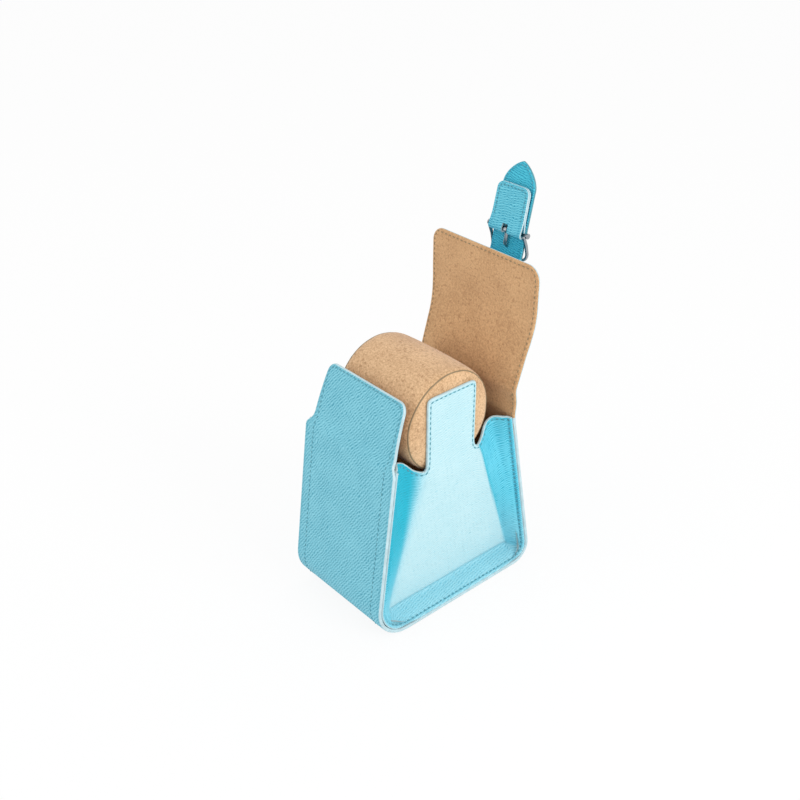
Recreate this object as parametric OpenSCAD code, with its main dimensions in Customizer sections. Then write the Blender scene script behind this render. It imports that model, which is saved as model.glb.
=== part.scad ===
// Watch roll: a folded leather strip forms front, base and back, two gussets close
// its sides, a cushion stands between them, and a long flap with a buckled strap
// rises from the back. Shown open. Millimetres, +Z up, front towards -Y, the
// origin at the centre of the flat base.

/* [Body strip] */
// width of the strip that forms front, base and back
body_w = 72.5; // [50:0.5:110]
// depth at floor level, measured where the wall lines meet the floor
base_d = 120.8; // [80:0.2:180]
// height of the gusset hems above the floor
step_h = 106; // [70:1:160]
// inward lean of the front wall in degrees
front_lean = 7.2; // [0:0.1:15]
// inward lean of the back wall in degrees
back_lean = 10.8; // [0:0.1:15]
// outside radius of the front bottom corner
front_r = 21; // [6:0.5:30]
// outside radius of the back bottom corner
back_r = 11; // [6:0.5:30]
// thickness of the outer leather
leather_t = 1.3; // [0.8:0.1:2.5]
// thickness of the suede lining
lining_t = 0.7; // [0.4:0.1:1.5]
// glue line between leather and lining
glue_gap = 0.1; // [0.05:0.05:0.3]

/* [Front tongue] */
// top of the front tongue above the floor
tongue_top = 139.5; // [115:0.5:170]
// width of the tongue at its foot
tongue_foot_w = 65.6; // [40:0.2:100]
// width of the tongue at its top
tongue_top_w = 60; // [30:0.5:95]
// inward lean of the tongue in degrees
tongue_lean = 19.6; // [5:0.2:30]
// step inwards at the tongue's foot
tongue_in = 3.3; // [0:0.1:6]
// outward bow of the tongue between foot and top
tongue_bow = 0.7; // [0:0.1:2]
// corner radius of the tongue
tongue_r = 5; // [1:0.5:12]

/* [Gussets] */
// thickness of the gusset leather
gusset_leather_t = 1.1; // [0.6:0.1:2]
// thickness of the gusset lining
gusset_lining_t = 0.6; // [0.4:0.1:1.5]
// gap between a gusset's hem and the strip it is sewn to
seam_gap = 0.3; // [0.2:0.1:0.6]
// half width of the body at the gusset face's top
face_top_x = 31.5; // [22:0.1:34]
// half width of the body at the gusset face's bottom crease
face_low_x = 24.2; // [16:0.1:32]
// height of the bottom crease
crease_z = 8.4; // [6.5:0.1:14]
// inward bow of the wings at hem level
wing_bow = 7.4; // [0:0.1:9]
// top of the gusset tongues
side_tongue_top = 137; // [112:0.5:165]
// width of the gusset tongues along Y
side_tongue_w = 34; // [20:0.5:50]
// depth of the notches beside the gusset tongues below the hems
notch_drop = 11.5; // [8:0.5:16]
// middle of the gusset tongues along Y
side_tongue_y = -3; // [-8:0.5:4]

/* [Flap] */
// top edge of the open flap
flap_top = 191; // [175:1:215]
// flap width at its root
flap_root_w = 73.4; // [50:0.2:110]
// flap width above the shoulder
flap_top_w = 78.6; // [50:0.2:118]
// corner radius of the flap
flap_r = 8; // [2:0.5:16]
// backward lean of the flap's middle in degrees
flap_lean = 17.5; // [5:0.5:25]
// radius of the flap's backward bend above its root
flap_ra = 29; // [22:1:40]
// radius of the flap's bend near its top
flap_rb = 75; // [55:1:110]
// length of the flap's straight middle
flap_run = 22; // [16:0.5:30]
// height above the hems where the flap starts to widen
flap_waist = 36; // [24:1:44]
// height above the hems where the flap has its full width
flap_full = 60; // [48:1:70]
// gap that parts the flap's fold segments
fold_gap = 0.3; // [0.1:0.05:0.6]

/* [Strap] */
// distance from the flap's top edge down to where the strap leaves the flap
strap_drop = 26; // [20:0.5:32]
// backward lean of the open strap's straight run in degrees
strap_lean = 12.4; // [5:0.2:25]
// distance that the straight run stands off behind the strap's foot
strap_out = 9.75; // [6:0.25:12]
// backward lean of the strap where it leaves the flap in degrees
strap_start = 50; // [42:1:58]
// length of the bend between the foot and the straight run
bend_l = 15; // [12:0.5:17]
// strap width where it leaves the flap
strap_root_w = 28; // [18:0.5:36]
// length over which the strap keeps that width
root_l = 14.4; // [8:0.2:16.4]
// strap width inside the buckle
strap_w = 23; // [14:0.2:30]
// strap leather thickness
strap_leather_t = 1.2; // [0.8:0.1:2]
// strap lining thickness
strap_lining_t = 0.6; // [0.4:0.1:1.2]
// strap length from the flap to the buckle bar
bar_s = 33.2; // [31:0.2:40]
// strap length from the flap to its pointed tip
tip_s = 69.8; // [60:0.2:84]
// length of the pointed part
point_l = 13; // [6:0.5:20]
// gap between the strap and what lies against it
strap_gap = 0.3; // [0.2:0.05:0.6]

/* [Buckle] */
// radius of the buckle bar
bar_r = 1; // [0.8:0.1:1.3]
// running clearance of the bar in tab and prong
bar_fit = 0.1; // [0.05:0.01:0.2]
// wall of the leather loop around the bar
loop_t = 1.1; // [0.8:0.1:1.5]
// width of the leather tab
tab_w = 23; // [14:0.2:30]
// tab length above the bar
tab_l = 24.4; // [14:0.2:30]
// distance from bar to crossbar along the strap
frame_l = 14; // [11:0.2:18]
// radius of the crossbar
cross_r = 1.2; // [0.9:0.1:1.6]
// thickness of the frame arms along X
arm_t = 1.5; // [1:0.1:2.2]
// side play of the strap in the frame
arm_gap = 0.4; // [0.3:0.1:1]
// width of the prong
prong_w = 2.4; // [1.6:0.1:3]
// thickness of the prong
prong_t = 1; // [0.8:0.1:1.4]

/* [Cushion] */
// cushion radius at its crown
cushion_r = 29.8; // [20:0.1:31.5]
// half length of the cushion
cushion_hl = 29.2; // [20:0.1:29.4]
// crown of the cushion's round side
cushion_crown = 0.8; // [0:0.1:2]
// radius of the cushion's rounded shoulders
shoulder_r = 3.2; // [1.5:0.1:6]
// cushion centre along Y
cushion_y = -2.6; // [-6:0.2:2]
// cushion centre height
cushion_z = 116.8; // [112:0.2:124]
// thickness of the cushion's cover
cover_t = 1.2; // [0.8:0.1:2]

/* [Hidden] */
$fn = 48;
eps = 0.1;
far = 400;
strip_t = leather_t + glue_gap + lining_t;
gusset_t = gusset_leather_t + glue_gap + gusset_lining_t;
hem_d = strip_t + seam_gap + gusset_t;
half_w = body_w / 2;
half_d = base_d / 2;
front_c = half_d - front_r / tan((90 - front_lean) / 2);
back_c = half_d - back_r / tan((90 - back_lean) / 2);
arc_n = 10;
foot_rise = 4.5;
foot_z = step_h + foot_rise;
foot_y = wall_line(step_h, front_lean) - tongue_in;
bow_n = 6;
root_z = step_h + 1.6;
flap_n1 = 14;
flap_n2 = 8;
flap_n3 = 24;
flap_n4 = 10;
fold_a = 16;
fold_b = 36;
flap_end = flap_n1 + flap_n2 + flap_n3 + flap_n4;
strap_z = flap_top - strap_drop;
strap_t = strap_lining_t + glue_gap + strap_leather_t;
strap_foot_l = 6.6;
bar_p = -(bar_r + bar_fit + loop_t + strap_gap);
cross_p = strap_t + strap_gap + cross_r;
cross_s = bar_s - frame_l;
arm_in = strap_w / 2 + arm_gap;
end_s = bar_s + 2.2;
cut_s = bar_s + 1.8;

function wall_line(z, lean) = half_d - z * tan(lean);
function arc_at(c, r, a) = [c + r * cos(a), r * (1 + sin(a))];

// Outer profile of the strip in Y and Z with the lean of its surface, from the
// front tongue's top down the front, along the floor and up the back.
function tongue_at(t) = [
    -foot_y + (tongue_top - foot_z) * tan(tongue_lean) * t - 4 * tongue_bow * t * (1 - t),
    foot_z + (tongue_top - foot_z) * t,
    180 - tongue_lean + atan(4 * tongue_bow * (1 - 2 * t) / (tongue_top - foot_z))
];
tongue_part = [for (k = [bow_n:-1:0]) tongue_at(k / bow_n)];
bend_part = [
    [-wall_line(step_h, front_lean) + tongue_in * 0.42, step_h + foot_rise * 0.45, 180 - 30],
    [-wall_line(step_h - 1, front_lean), step_h - 1, 180 - front_lean - 6]
];
front_part = [for (k = [3:-1:1])
    let (z = front_r * 1.2 + (step_h - front_r * 1.5) * k / 3.2)
    [-wall_line(z, front_lean), z, 180 - front_lean]];
front_arc = [for (k = [0:arc_n])
    let (a = 180 - front_lean + (90 + front_lean) * k / arc_n)
    [-front_c + front_r * cos(a), front_r + front_r * sin(a), a]];
back_arc = [for (k = [0:arc_n])
    let (a = 270 + (90 + back_lean) * k / arc_n)
    [back_c + back_r * cos(a), back_r + back_r * sin(a), a]];
back_part = [for (k = [1:4])
    let (z = back_r * 1.5 + (root_z - back_r * 1.5) * k / 4)
    [wall_line(z, back_lean), z, 360 + back_lean]];
strip_path = concat(tongue_part, bend_part, front_part, front_arc, back_arc, back_part);

// Outer profile of the flap, from its root to its top edge.
flap_start_y = wall_line(root_z + fold_gap, back_lean);
function arc_step(y, z, r, a, b) = [y + r * (cos(a) - cos(b)), z + r * (sin(b) - sin(a)), b];
flap_p1 = [for (k = [0:flap_n1])
    arc_step(flap_start_y, root_z + fold_gap, flap_ra, -back_lean,
        -back_lean + (flap_lean + back_lean) * k / flap_n1)];
flap_e1 = flap_p1[flap_n1];
flap_p2 = [for (k = [1:flap_n2])
    [flap_e1[0] + flap_run * sin(flap_lean) * k / flap_n2,
        flap_e1[1] + flap_run * cos(flap_lean) * k / flap_n2, flap_lean]];
flap_e2 = flap_p2[flap_n2 - 1];
flap_p3 = [for (k = [1:flap_n3])
    let (a = flap_lean * (1 - k / flap_n3))
    [flap_e2[0] + flap_rb * (cos(a) - cos(flap_lean)),
        flap_e2[1] + flap_rb * (sin(flap_lean) - sin(a)), a]];
flap_e3 = flap_p3[flap_n3 - 1];
flap_p4 = [for (k = [1:flap_n4])
    [flap_e3[0], flap_e3[1] + (flap_top - flap_e3[1]) * k / flap_n4, 0]];
flap_path = concat(flap_p1, flap_p2, flap_p3, flap_p4);
flap_out_y = flap_path[flap_end][0];
strap_y = flap_out_y + strap_gap;

// A point of a path moved inwards by t.
function inward(p, t) = [p[0] - t * cos(p[2]), p[1] - t * sin(p[2])];
function flap_in(p, t) = [p[0] - t * cos(p[2]), p[1] + t * sin(p[2])];
function along(p, d) = [p[0] + d * sin(p[2]), p[1] + d * cos(p[2]), p[2]];
function flap_seg(a, b) = [for (i = [a:b])
    i == a && a > 0 ? along(flap_path[i], fold_gap / 2) :
    i == b && b < flap_end ? along(flap_path[i], -fold_gap / 2) : flap_path[i]];

module across(w) {
    rotate([90, 0, 90]) {
        linear_extrude(height = w, center = true) children();
    }
}

module along_y() {
    rotate([90, 0, 0]) {
        linear_extrude(height = far, center = true) children();
    }
}

module strip_layer(t0, t1) {
    n = len(strip_path);
    outer = [for (i = [0:n - 1]) inward(strip_path[i], t0)];
    inner = [for (i = [n - 1:-1:0]) inward(strip_path[i], t1)];
    across(body_w) polygon(concat(outer, inner));
}

module front_outline() {
    f = tongue_foot_w / 2;
    t = tongue_top_w / 2;
    k = tongue_r;
    right = concat(
        [[half_w, -1], [half_w, step_h - 1], [f, foot_z - 1.6]],
        [for (a = [0:15:90]) [t - k + k * cos(a), tongue_top - k + k * sin(a)]]
    );
    left = [for (i = [len(right) - 1:-1:0]) [-right[i][0], right[i][1]]];
    polygon(concat(right, left));
}

module strip_outline() {
    intersection() {
        children();
        union() {
            along_y() front_outline();
            translate([-half_w - eps, 0, -1]) cube([body_w + 2 * eps, far, far]);
        }
    }
}

module shell_leather() {
    color("#2f9aa8") strip_outline() strip_layer(0, leather_t);
}

module shell_lining() {
    color("#b8865a") strip_outline() strip_layer(leather_t + glue_gap, strip_t);
}

// Half depth of the strip's inside at height z, at the distance d from its outer face.
function inner_y(z, d, lean, r, c) =
    z > r + (r - d) * sin(lean) ? wall_line(z, lean) - d / cos(lean) :
    c + sqrt(max(0, pow(r - d, 2) - pow(z - r, 2)));
function edge_y(z, back) = back ?
    inner_y(z, hem_d, back_lean, back_r, back_c) :
    -inner_y(z, hem_d, front_lean, front_r, front_c);
function edge_n(z, back) =
    let (lean = back ? back_lean : front_lean, r = back ? back_r : front_r)
    z > r ? [0, back ? -cos(lean) : cos(lean), -sin(lean)] :
    let (a = asin(min(1, max(-1, (r - z) / (r - hem_d)))))
    [0, back ? -cos(a) : cos(a), sin(a)];

// The gusset is a grid of columns from the front hem to the back hem and rows from
// the floor hem to its top edge. Each column states its foot and its top in Y and Z.
wing_z = step_h - notch_drop;
front_fillet = 2.4;
back_fillet = 4;
front_crease = [-41, side_tongue_y - side_tongue_w / 2 - front_fillet];
back_crease = [50, side_tongue_y + side_tongue_w / 2 + back_fillet];
face_top_z = cushion_z - cushion_r + 0.6;
function face_x(z) = min(face_top_x,
    face_low_x + (z - crease_z) * (face_top_x - face_low_x) / (face_top_z - crease_z));
function crease_y(z, back) =
    let (c = back ? back_crease : front_crease, k = (z - crease_z) / (wing_z - crease_z))
    c[0] + (c[1] - c[0]) * max(0, min(1, k));
function ramp(z) =
    let (k = max(0, min(1, (z - step_h * 0.4) / (step_h * 0.6)))) k * k * (3 - 2 * k);
tongue_h = side_tongue_top - wing_z;
side_w = side_tongue_w / 2;
function half_tongue(r) = [
    [0.88, side_w + r * 0.5, wing_z + r * 0.13], [0.76, side_w + r * 0.13, wing_z + r * 0.5],
    [0.64, side_w, wing_z + r], [0.5, side_w, wing_z + tongue_h * 0.5],
    [0.4, side_w - 0.2, wing_z + tongue_h * 0.92],
    [0.3, side_w - 1, wing_z + tongue_h * 0.98], [0.2, side_w - 3, wing_z + tongue_h]
];
front_cols = [for (c = half_tongue(front_fillet))
    [front_crease[0] * c[0], side_tongue_y - c[1], c[2]]];
back_cols = [for (i = [len(half_tongue(0)) - 1:-1:0]) let (c = half_tongue(back_fillet)[i])
    [back_crease[0] * c[0], side_tongue_y + c[1], c[2]]];
mid_cols = concat(front_cols, [[1, side_tongue_y, side_tongue_top]], back_cols);
wing_f = [0, 0.05, 0.26, 0.52, 0.78, 1];
wing_top = [step_h, step_h, step_h - 0.3, step_h - 3, wing_z + 2.2, wing_z];
wing_n = len(wing_f);
col_n = 2 * wing_n + len(mid_cols);
floor_rows = [[hem_d, half_w], [hem_d + 0.35, half_w - 3], [hem_d + 1.9, half_w - 7.6]];
up_rows = [0, 0.06, 0.16, 0.28, 0.4, 0.52, 0.64, 0.76, 0.87, 0.95, 1];
floor_n = len(floor_rows);
row_n = floor_n + len(up_rows);
bow_share = [0, 0.05, 1, 0.9, 0.42, 0];

function wing_point(z, k, back) =
    let (e = edge_y(z, back), c = crease_y(z, back), f = wing_f[k], s = back ? -1 : 1)
    k == 0 ? [half_w, e, z] :
    k == 1 ? [half_w - 2.9, e + s * 0.5, z] :
    [half_w + (face_x(z) - half_w) * f - wing_bow * ramp(z) * bow_share[k],
        e + (c - e) * f, z];
function up_point(i, f) =
    i < wing_n ? wing_point(crease_z + (wing_top[i] - crease_z) * f, i, false) :
    i >= col_n - wing_n ?
        let (k = col_n - 1 - i)
        wing_point(crease_z + (wing_top[k] - crease_z) * f, k, true) :
    let (c = mid_cols[i - wing_n], z = crease_z + (c[2] - crease_z) * f)
    [face_x(z), c[0] + (c[1] - c[0]) * f, z];
function floor_point(i, j) =
    let (z = floor_rows[j][0], x = floor_rows[j][1], p = up_point(i, 0),
        a = edge_y(crease_z, false), b = edge_y(crease_z, true),
        t = (p[1] - a) / (b - a),
        fa = edge_y(z, false), fb = edge_y(z, true))
    [max(x, p[0]), fa + (fb - fa) * t, z];
gusset_grid = [for (j = [0:row_n - 1]) [for (i = [0:col_n - 1])
    j < floor_n ? floor_point(i, j) : up_point(i, up_rows[j - floor_n])]];
function unit(v) = v / norm(v);
function grid_normal(i, j) =
    j == 0 ? [0, 0, 1] :
    i == 0 ? edge_n(gusset_grid[j][0][2], false) :
    i == col_n - 1 ? edge_n(gusset_grid[j][i][2], true) :
    unit(cross(gusset_grid[j][i + 1] - gusset_grid[j][i - 1],
        gusset_grid[min(row_n - 1, j + 1)][i] - gusset_grid[j - 1][i]));
gusset_normals = [for (j = [0:row_n - 1]) [for (i = [0:col_n - 1]) grid_normal(i, j)]];

module gusset_layer(t0, t1) {
    count = row_n * col_n;
    outer = [for (j = [0:row_n - 1]) for (i = [0:col_n - 1])
        gusset_grid[j][i] - gusset_normals[j][i] * t0];
    inner = [for (j = [0:row_n - 1]) for (i = [0:col_n - 1])
        gusset_grid[j][i] - gusset_normals[j][i] * t1];
    top = row_n - 1;
    end = col_n - 1;
    skins = [for (j = [0:top - 1]) for (i = [0:end - 1])
        let (a = j * col_n + i, b = a + 1, c = a + col_n + 1, d = a + col_n)
        each [[a, c, b], [a, d, c], [count + a, count + b, count + c],
            [count + a, count + c, count + d]]];
    low_rim = [for (i = [0:end - 1]) each
        [[i, i + 1, count + i + 1], [i, count + i + 1, count + i]]];
    top_rim = [for (i = [0:end - 1]) let (a = top * col_n + i) each
        [[a, count + a + 1, a + 1], [a, count + a, count + a + 1]]];
    side_rims = [for (j = [0:top - 1])
        let (a = j * col_n, b = a + col_n, c = a + end, d = c + col_n) each
        [[a, count + b, b], [a, count + a, count + b],
            [c, d, count + d], [c, count + d, count + c]]];
    polyhedron(concat(outer, inner), concat(skins, low_rim, top_rim, side_rims));
}

module gusset_right_leather() {
    color("#7fd3dd") gusset_layer(0, gusset_leather_t);
}

module gusset_left_leather() {
    color("#7fd3dd") mirror([1, 0, 0]) gusset_layer(0, gusset_leather_t);
}

module gusset_right_lining() {
    color("#b8865a") gusset_layer(gusset_leather_t + glue_gap, gusset_t);
}

module gusset_left_lining() {
    color("#b8865a") mirror([1, 0, 0]) gusset_layer(gusset_leather_t + glue_gap, gusset_t);
}

module flap_outline() {
    r = flap_root_w / 2;
    t = flap_top_w / 2;
    k = flap_r;
    right = concat(
        [[r, root_z - 1], [r + 0.6, step_h + flap_waist],
            [t - 0.5, step_h + flap_full - flap_r], [t, step_h + flap_full]],
        [for (a = [0:15:90]) [t - k + k * cos(a), flap_top - k + k * sin(a)]]
    );
    left = [for (i = [len(right) - 1:-1:0]) [-right[i][0], right[i][1]]];
    polygon(concat(right, left));
}

module flap_layer(a, b, t0, t1) {
    seg = flap_seg(a, b);
    n = len(seg);
    outer = [for (i = [0:n - 1]) flap_in(seg[i], t0)];
    inner = [for (i = [n - 1:-1:0]) flap_in(seg[i], t1)];
    intersection() {
        across(flap_top_w + 2) polygon(concat(outer, inner));
        along_y() flap_outline();
    }
}

module flap_low_leather() {
    color("#2f9aa8") flap_layer(0, fold_a, 0, leather_t);
}

module flap_low_lining() {
    color("#b8865a") flap_layer(0, fold_a, leather_t + glue_gap, strip_t);
}

module flap_mid_leather() {
    color("#2f9aa8") flap_layer(fold_a, fold_b, 0, leather_t);
}

module flap_mid_lining() {
    color("#b8865a") flap_layer(fold_a, fold_b, leather_t + glue_gap, strip_t);
}

module flap_top_leather() {
    color("#2f9aa8") flap_layer(fold_b, flap_end, 0, leather_t);
}

module flap_top_lining() {
    color("#b8865a") flap_layer(fold_b, flap_end, leather_t + glue_gap, strip_t);
}

// Strap coordinates: Z runs up the open strap, Y away from its inner face.
module on_strap() {
    translate([0, strap_y + strap_out * cos(strap_lean), strap_z - strap_out * sin(strap_lean)]) {
        rotate([-strap_lean, 0, 0]) children();
    }
}

module strap_outline() {
    w = strap_w / 2;
    r = strap_root_w / 2;
    right = [[r, -2], [r - 0.3, root_l], [w, cross_s - 1.2], [w, tip_s - point_l],
        [w * 0.86, tip_s - point_l * 0.72], [w * 0.5, tip_s - point_l * 0.25],
        [w * 0.2, tip_s - 0.6], [0, tip_s]];
    left = [for (i = [len(right) - 2:-1:0]) [-right[i][0], right[i][1]]];
    polygon(concat(right, left));
}

// From its foot the strap bends outwards along a cubic curve and then runs straight.
// A point of that bend, at the share u of it and the depth t from the inner face.
bend_a = [-strap_out, 0];
bend_b = bend_a
    + [sin(strap_start - strap_lean), cos(strap_start - strap_lean)] * bend_l * 0.53;
bend_c = [0, bend_l * 0.67];
bend_d = [0, bend_l];
bend_n = 8;
function bend_point(u, t) =
    let (v = 1 - u,
        q = v * v * (v * bend_a + 3 * u * bend_b) + u * u * (3 * v * bend_c + u * bend_d),
        g = v * v * (bend_b - bend_a) + 2 * u * v * (bend_c - bend_b)
            + u * u * (bend_d - bend_c))
    u == 0 ? bend_a + [cos(strap_lean), sin(strap_lean)] * t / cos(strap_start) :
    q + [g[1], -g[0]] * t / norm(g);

module strap_upper(p0, p1) {
    inner = [for (k = [0:bend_n]) bend_point(k / bend_n, p0)];
    outer = [for (k = [bend_n:-1:0]) bend_point(k / bend_n, p1)];
    difference() {
        intersection() {
            across(strap_root_w + 2) polygon(concat(inner, [[p0, cut_s], [p1, cut_s]], outer));
            along_y() strap_outline();
        }
        prong_slot();
    }
}

module strap_end(p0, p1) {
    intersection() {
        across(strap_w + 2) polygon([[p0, end_s], [p1, end_s], [p1, tip_s], [p0, tip_s]]);
        along_y() strap_outline();
    }
}

module prong_slot() {
    translate([0, 0, bar_s - 10.6]) {
        rotate([90, 0, 0]) {
            linear_extrude(height = far, center = true) {
                union() {
                    translate([0, 2.2]) circle(r = prong_w / 2 + 0.7);
                    translate([0, -2.2]) circle(r = prong_w / 2 + 0.7);
                    square([prong_w + 1.4, 4.4], center = true);
                }
            }
        }
    }
}

module strap_foot() {
    color("#2f9aa8") translate([-strap_root_w / 2, flap_out_y, strap_z - strap_foot_l]) {
        cube([strap_root_w, strap_t + strap_gap, strap_foot_l - 0.2]);
    }
}

module strap_leather() {
    color("#2f9aa8") on_strap() strap_upper(strap_lining_t + glue_gap, strap_t);
}

module strap_lining() {
    color("#2f9aa8") on_strap() strap_upper(0, strap_lining_t);
}

module strap_end_leather() {
    color("#2f9aa8") on_strap() strap_end(strap_lining_t + glue_gap, strap_t);
}

module strap_end_lining() {
    color("#2f9aa8") on_strap() strap_end(0, strap_lining_t);
}

module tab_outline() {
    w = tab_w / 2;
    t = w - 0.7;
    k = 4;
    top = bar_s + tab_l;
    right = concat([[w, bar_s - 5]],
        [for (a = [0:15:90]) [t - k + k * cos(a), top - k + k * sin(a)]]);
    left = [for (i = [len(right) - 1:-1:0]) [-right[i][0], right[i][1]]];
    polygon(concat(right, left));
}

module buckle_tab() {
    loop_r = bar_r + bar_fit + loop_t;
    notch = prong_w / 2 + 1;
    color("#2f9aa8") on_strap() intersection() {
        difference() {
            union() {
                across(tab_w) translate([bar_p, bar_s]) circle(r = loop_r);
                across(tab_w) translate([bar_p - loop_t, bar_s]) square([2 * loop_t, tab_l]);
            }
            across(far) translate([bar_p, bar_s]) circle(r = bar_r + bar_fit);
            translate([-notch, bar_p - 5, bar_s - 5]) cube([2 * notch, 10, 8.6]);
        }
        along_y() tab_outline();
    }
}

module arm() {
    difference() {
        union() {
            translate([bar_p, bar_s]) circle(r = bar_r + 1);
            translate([cross_p, cross_s]) circle(r = cross_r + 0.3);
            polygon([[bar_p - 1.9, bar_s - 0.6], [bar_p + 1.9, bar_s + 0.6],
                [cross_p + 1.4, cross_s + 0.5], [cross_p - 1.4, cross_s - 0.5]]);
        }
        translate([bar_p, bar_s]) circle(r = bar_r + 0.05);
    }
}

module buckle_frame() {
    color("#c9ccd0") on_strap() {
        for (side = [-1, 1]) {
            translate([side * (arm_in + arm_t / 2), 0, 0]) across(arm_t) arm();
        }
        across(2 * arm_in + eps) translate([cross_p, cross_s]) circle(r = cross_r);
    }
}

module buckle_bar() {
    color("#c9ccd0") on_strap() {
        across(2 * (arm_in + arm_t) + 0.4) translate([bar_p, bar_s]) circle(r = bar_r);
        for (side = [-1, 1]) {
            translate([side * (arm_in + arm_t + 0.6), 0, 0]) {
                across(0.8) translate([bar_p, bar_s]) circle(r = bar_r + 0.5);
            }
        }
    }
}

module buckle_prong() {
    rest_p = cross_p + cross_r + 0.25;
    h = prong_t / 2;
    mid_p = bar_p + 0.9;
    color("#c9ccd0") on_strap() difference() {
        union() {
            across(prong_w) translate([bar_p, bar_s]) circle(r = bar_r + bar_fit + 0.9);
            across(prong_w) polygon([
                [mid_p - h, bar_s - 1.2], [mid_p + h, bar_s - 1.2],
                [mid_p + h, bar_s - 7.6], [rest_p + 2 * h, cross_s + 2],
                [rest_p + 2 * h, cross_s - 2.4], [rest_p, cross_s - 2.4],
                [rest_p, cross_s + 1.6], [mid_p - h, bar_s - 8.4]
            ]);
        }
        across(far) translate([bar_p, bar_s]) circle(r = bar_r + bar_fit);
    }
}

function crown_r(x) = cushion_r - cushion_crown * pow(x / cushion_hl, 2);
shoulder_x = cushion_hl - shoulder_r;
shoulder_end = 20;
cover_sides = 60;

// Half of the cover's profile, moved inwards by t: n crown points from the middle,
// then m points round the shoulder.
function cover_line(t, n, m) = concat(
    [for (k = [0:n - 1]) let (x = shoulder_x * k / n) [x, crown_r(x) - t]],
    [for (k = [0:m - 1])
        let (a = 90 - (90 - shoulder_end) * k / (m - 1), r = shoulder_r - t)
        [shoulder_x + r * cos(a), crown_r(shoulder_x) - shoulder_r + r * sin(a)]]
);
function reversed(p) = [for (i = [len(p) - 1:-1:0]) p[i]];
function flipped(p) = [for (i = [len(p) - 1:-1:1]) [-p[i][0], p[i][1]]];

module turned() {
    translate([0, cushion_y, cushion_z]) rotate([0, 90, 0]) rotate_extrude() children();
}

module cushion_cover() {
    outer = cover_line(0, 3, 4);
    inner = cover_line(cover_t, 1, 3);
    loop = concat(flipped(outer), outer, reversed(concat(flipped(inner), inner)));
    n = len(loop);
    m = cover_sides;
    points = [for (p = loop) for (j = [0:m - 1])
        let (a = 360 * j / m)
        [p[0], cushion_y + p[1] * cos(a), cushion_z + p[1] * sin(a)]];
    faces = [for (i = [0:n - 1]) for (j = [0:m - 1])
        let (a = i * m, b = (i + 1) % n * m, k = (j + 1) % m) each
        [[a + j, b + j, b + k], [a + j, b + k, a + k]]];
    color("#3aa3b1") polyhedron(points, faces);
}

disc_r = crown_r(cushion_hl - shoulder_r) - shoulder_r
    + (shoulder_r - cover_t) * sin(shoulder_end) - 0.15;

module end_disc() {
    polygon([[0, cushion_hl - cover_t], [disc_r, cushion_hl - cover_t],
        [disc_r, cushion_hl - 0.5], [disc_r - 2, cushion_hl], [0, cushion_hl]]);
}

module cushion_end_right() {
    color("#3aa3b1") turned() end_disc();
}

module cushion_end_left() {
    color("#3aa3b1") mirror([1, 0, 0]) turned() end_disc();
}

module cushion_core() {
    r = crown_r(cushion_hl - shoulder_r) - cover_t - 0.2;
    x = cushion_hl - cover_t - 0.2;
    k = shoulder_r;
    color("#e6e0d2") turned() polygon([[0, -x], [r - k, -x], [r, -x + k], [r, x - k],
        [r - k, x], [0, x]]);
}

shell_leather();
shell_lining();
gusset_right_leather();
gusset_left_leather();
gusset_right_lining();
gusset_left_lining();
flap_low_leather();
flap_low_lining();
flap_mid_leather();
flap_mid_lining();
flap_top_leather();
flap_top_lining();
strap_foot();
strap_leather();
strap_lining();
strap_end_leather();
strap_end_lining();
buckle_tab();
buckle_frame();
buckle_bar();
buckle_prong();
cushion_cover();
cushion_end_right();
cushion_end_left();
cushion_core();
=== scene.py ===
import math
import bpy
import numpy as np
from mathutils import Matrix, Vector


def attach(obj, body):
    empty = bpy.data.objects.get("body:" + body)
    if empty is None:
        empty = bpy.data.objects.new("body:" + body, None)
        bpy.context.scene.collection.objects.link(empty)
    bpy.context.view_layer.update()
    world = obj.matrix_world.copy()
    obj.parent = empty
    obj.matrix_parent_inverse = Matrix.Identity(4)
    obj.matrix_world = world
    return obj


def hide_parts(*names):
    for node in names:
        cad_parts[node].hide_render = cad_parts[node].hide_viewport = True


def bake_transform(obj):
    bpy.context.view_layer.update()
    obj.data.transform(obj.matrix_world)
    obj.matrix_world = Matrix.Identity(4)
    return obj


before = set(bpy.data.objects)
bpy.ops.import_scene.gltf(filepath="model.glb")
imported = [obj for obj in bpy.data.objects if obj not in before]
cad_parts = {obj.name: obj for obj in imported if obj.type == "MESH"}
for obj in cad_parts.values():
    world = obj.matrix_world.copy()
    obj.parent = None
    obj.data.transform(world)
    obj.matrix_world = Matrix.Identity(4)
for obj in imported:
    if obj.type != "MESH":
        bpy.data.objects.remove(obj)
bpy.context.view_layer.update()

mm = 0.001

# Sizes that several sheets share, in millimetres: how far a seam runs from the edge, the
# gap between a sheet's two layers, and where a grid's points lie next to a free edge.
seamInset = 1.7
layerGap = 0.1
edgeSteps = np.array([0, 0.07, 0.18, 0.34, 0.6, 1.0, 1.5, 2.2])

# Colours as linear light.
colours = {
    "turquoise": (0.235, 0.60, 0.71),
    "turquoiseDeep": (0.075, 0.34, 0.45),
    "wing": (0.155, 0.64, 0.80),
    "wingDeep": (0.03, 0.40, 0.55),
    # painted light for the middle of the gusset sides, and painted shade for their valleys
    "pale": (0.55, 0.76, 0.80),
    "paleDeep": (0.38, 0.66, 0.73),
    "valley": (0.010, 0.45, 0.60),
    "strap": (0.17, 0.61, 0.74),
    "strapDeep": (0.03, 0.32, 0.46),
    # a darker copy of the strap colour: painted shade for the strap's inner layers
    "tip": (0.075, 0.56, 0.71),
    "tipDeep": (0.008, 0.28, 0.42),
    "edgePaint": (0.52, 0.70, 0.75),
    "edgeTeal": (0.07, 0.30, 0.36),
    "suede": (0.68, 0.42, 0.215),
    "suedeDark": (0.34, 0.175, 0.075),
    "thread": (0.10, 0.34, 0.42),
    "threadTan": (0.30, 0.22, 0.12),
    "suedeCushion": (0.78, 0.52, 0.30),
    "steel": (0.36, 0.38, 0.40),
}


def rad(a):
    return a * math.pi / 180


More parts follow.
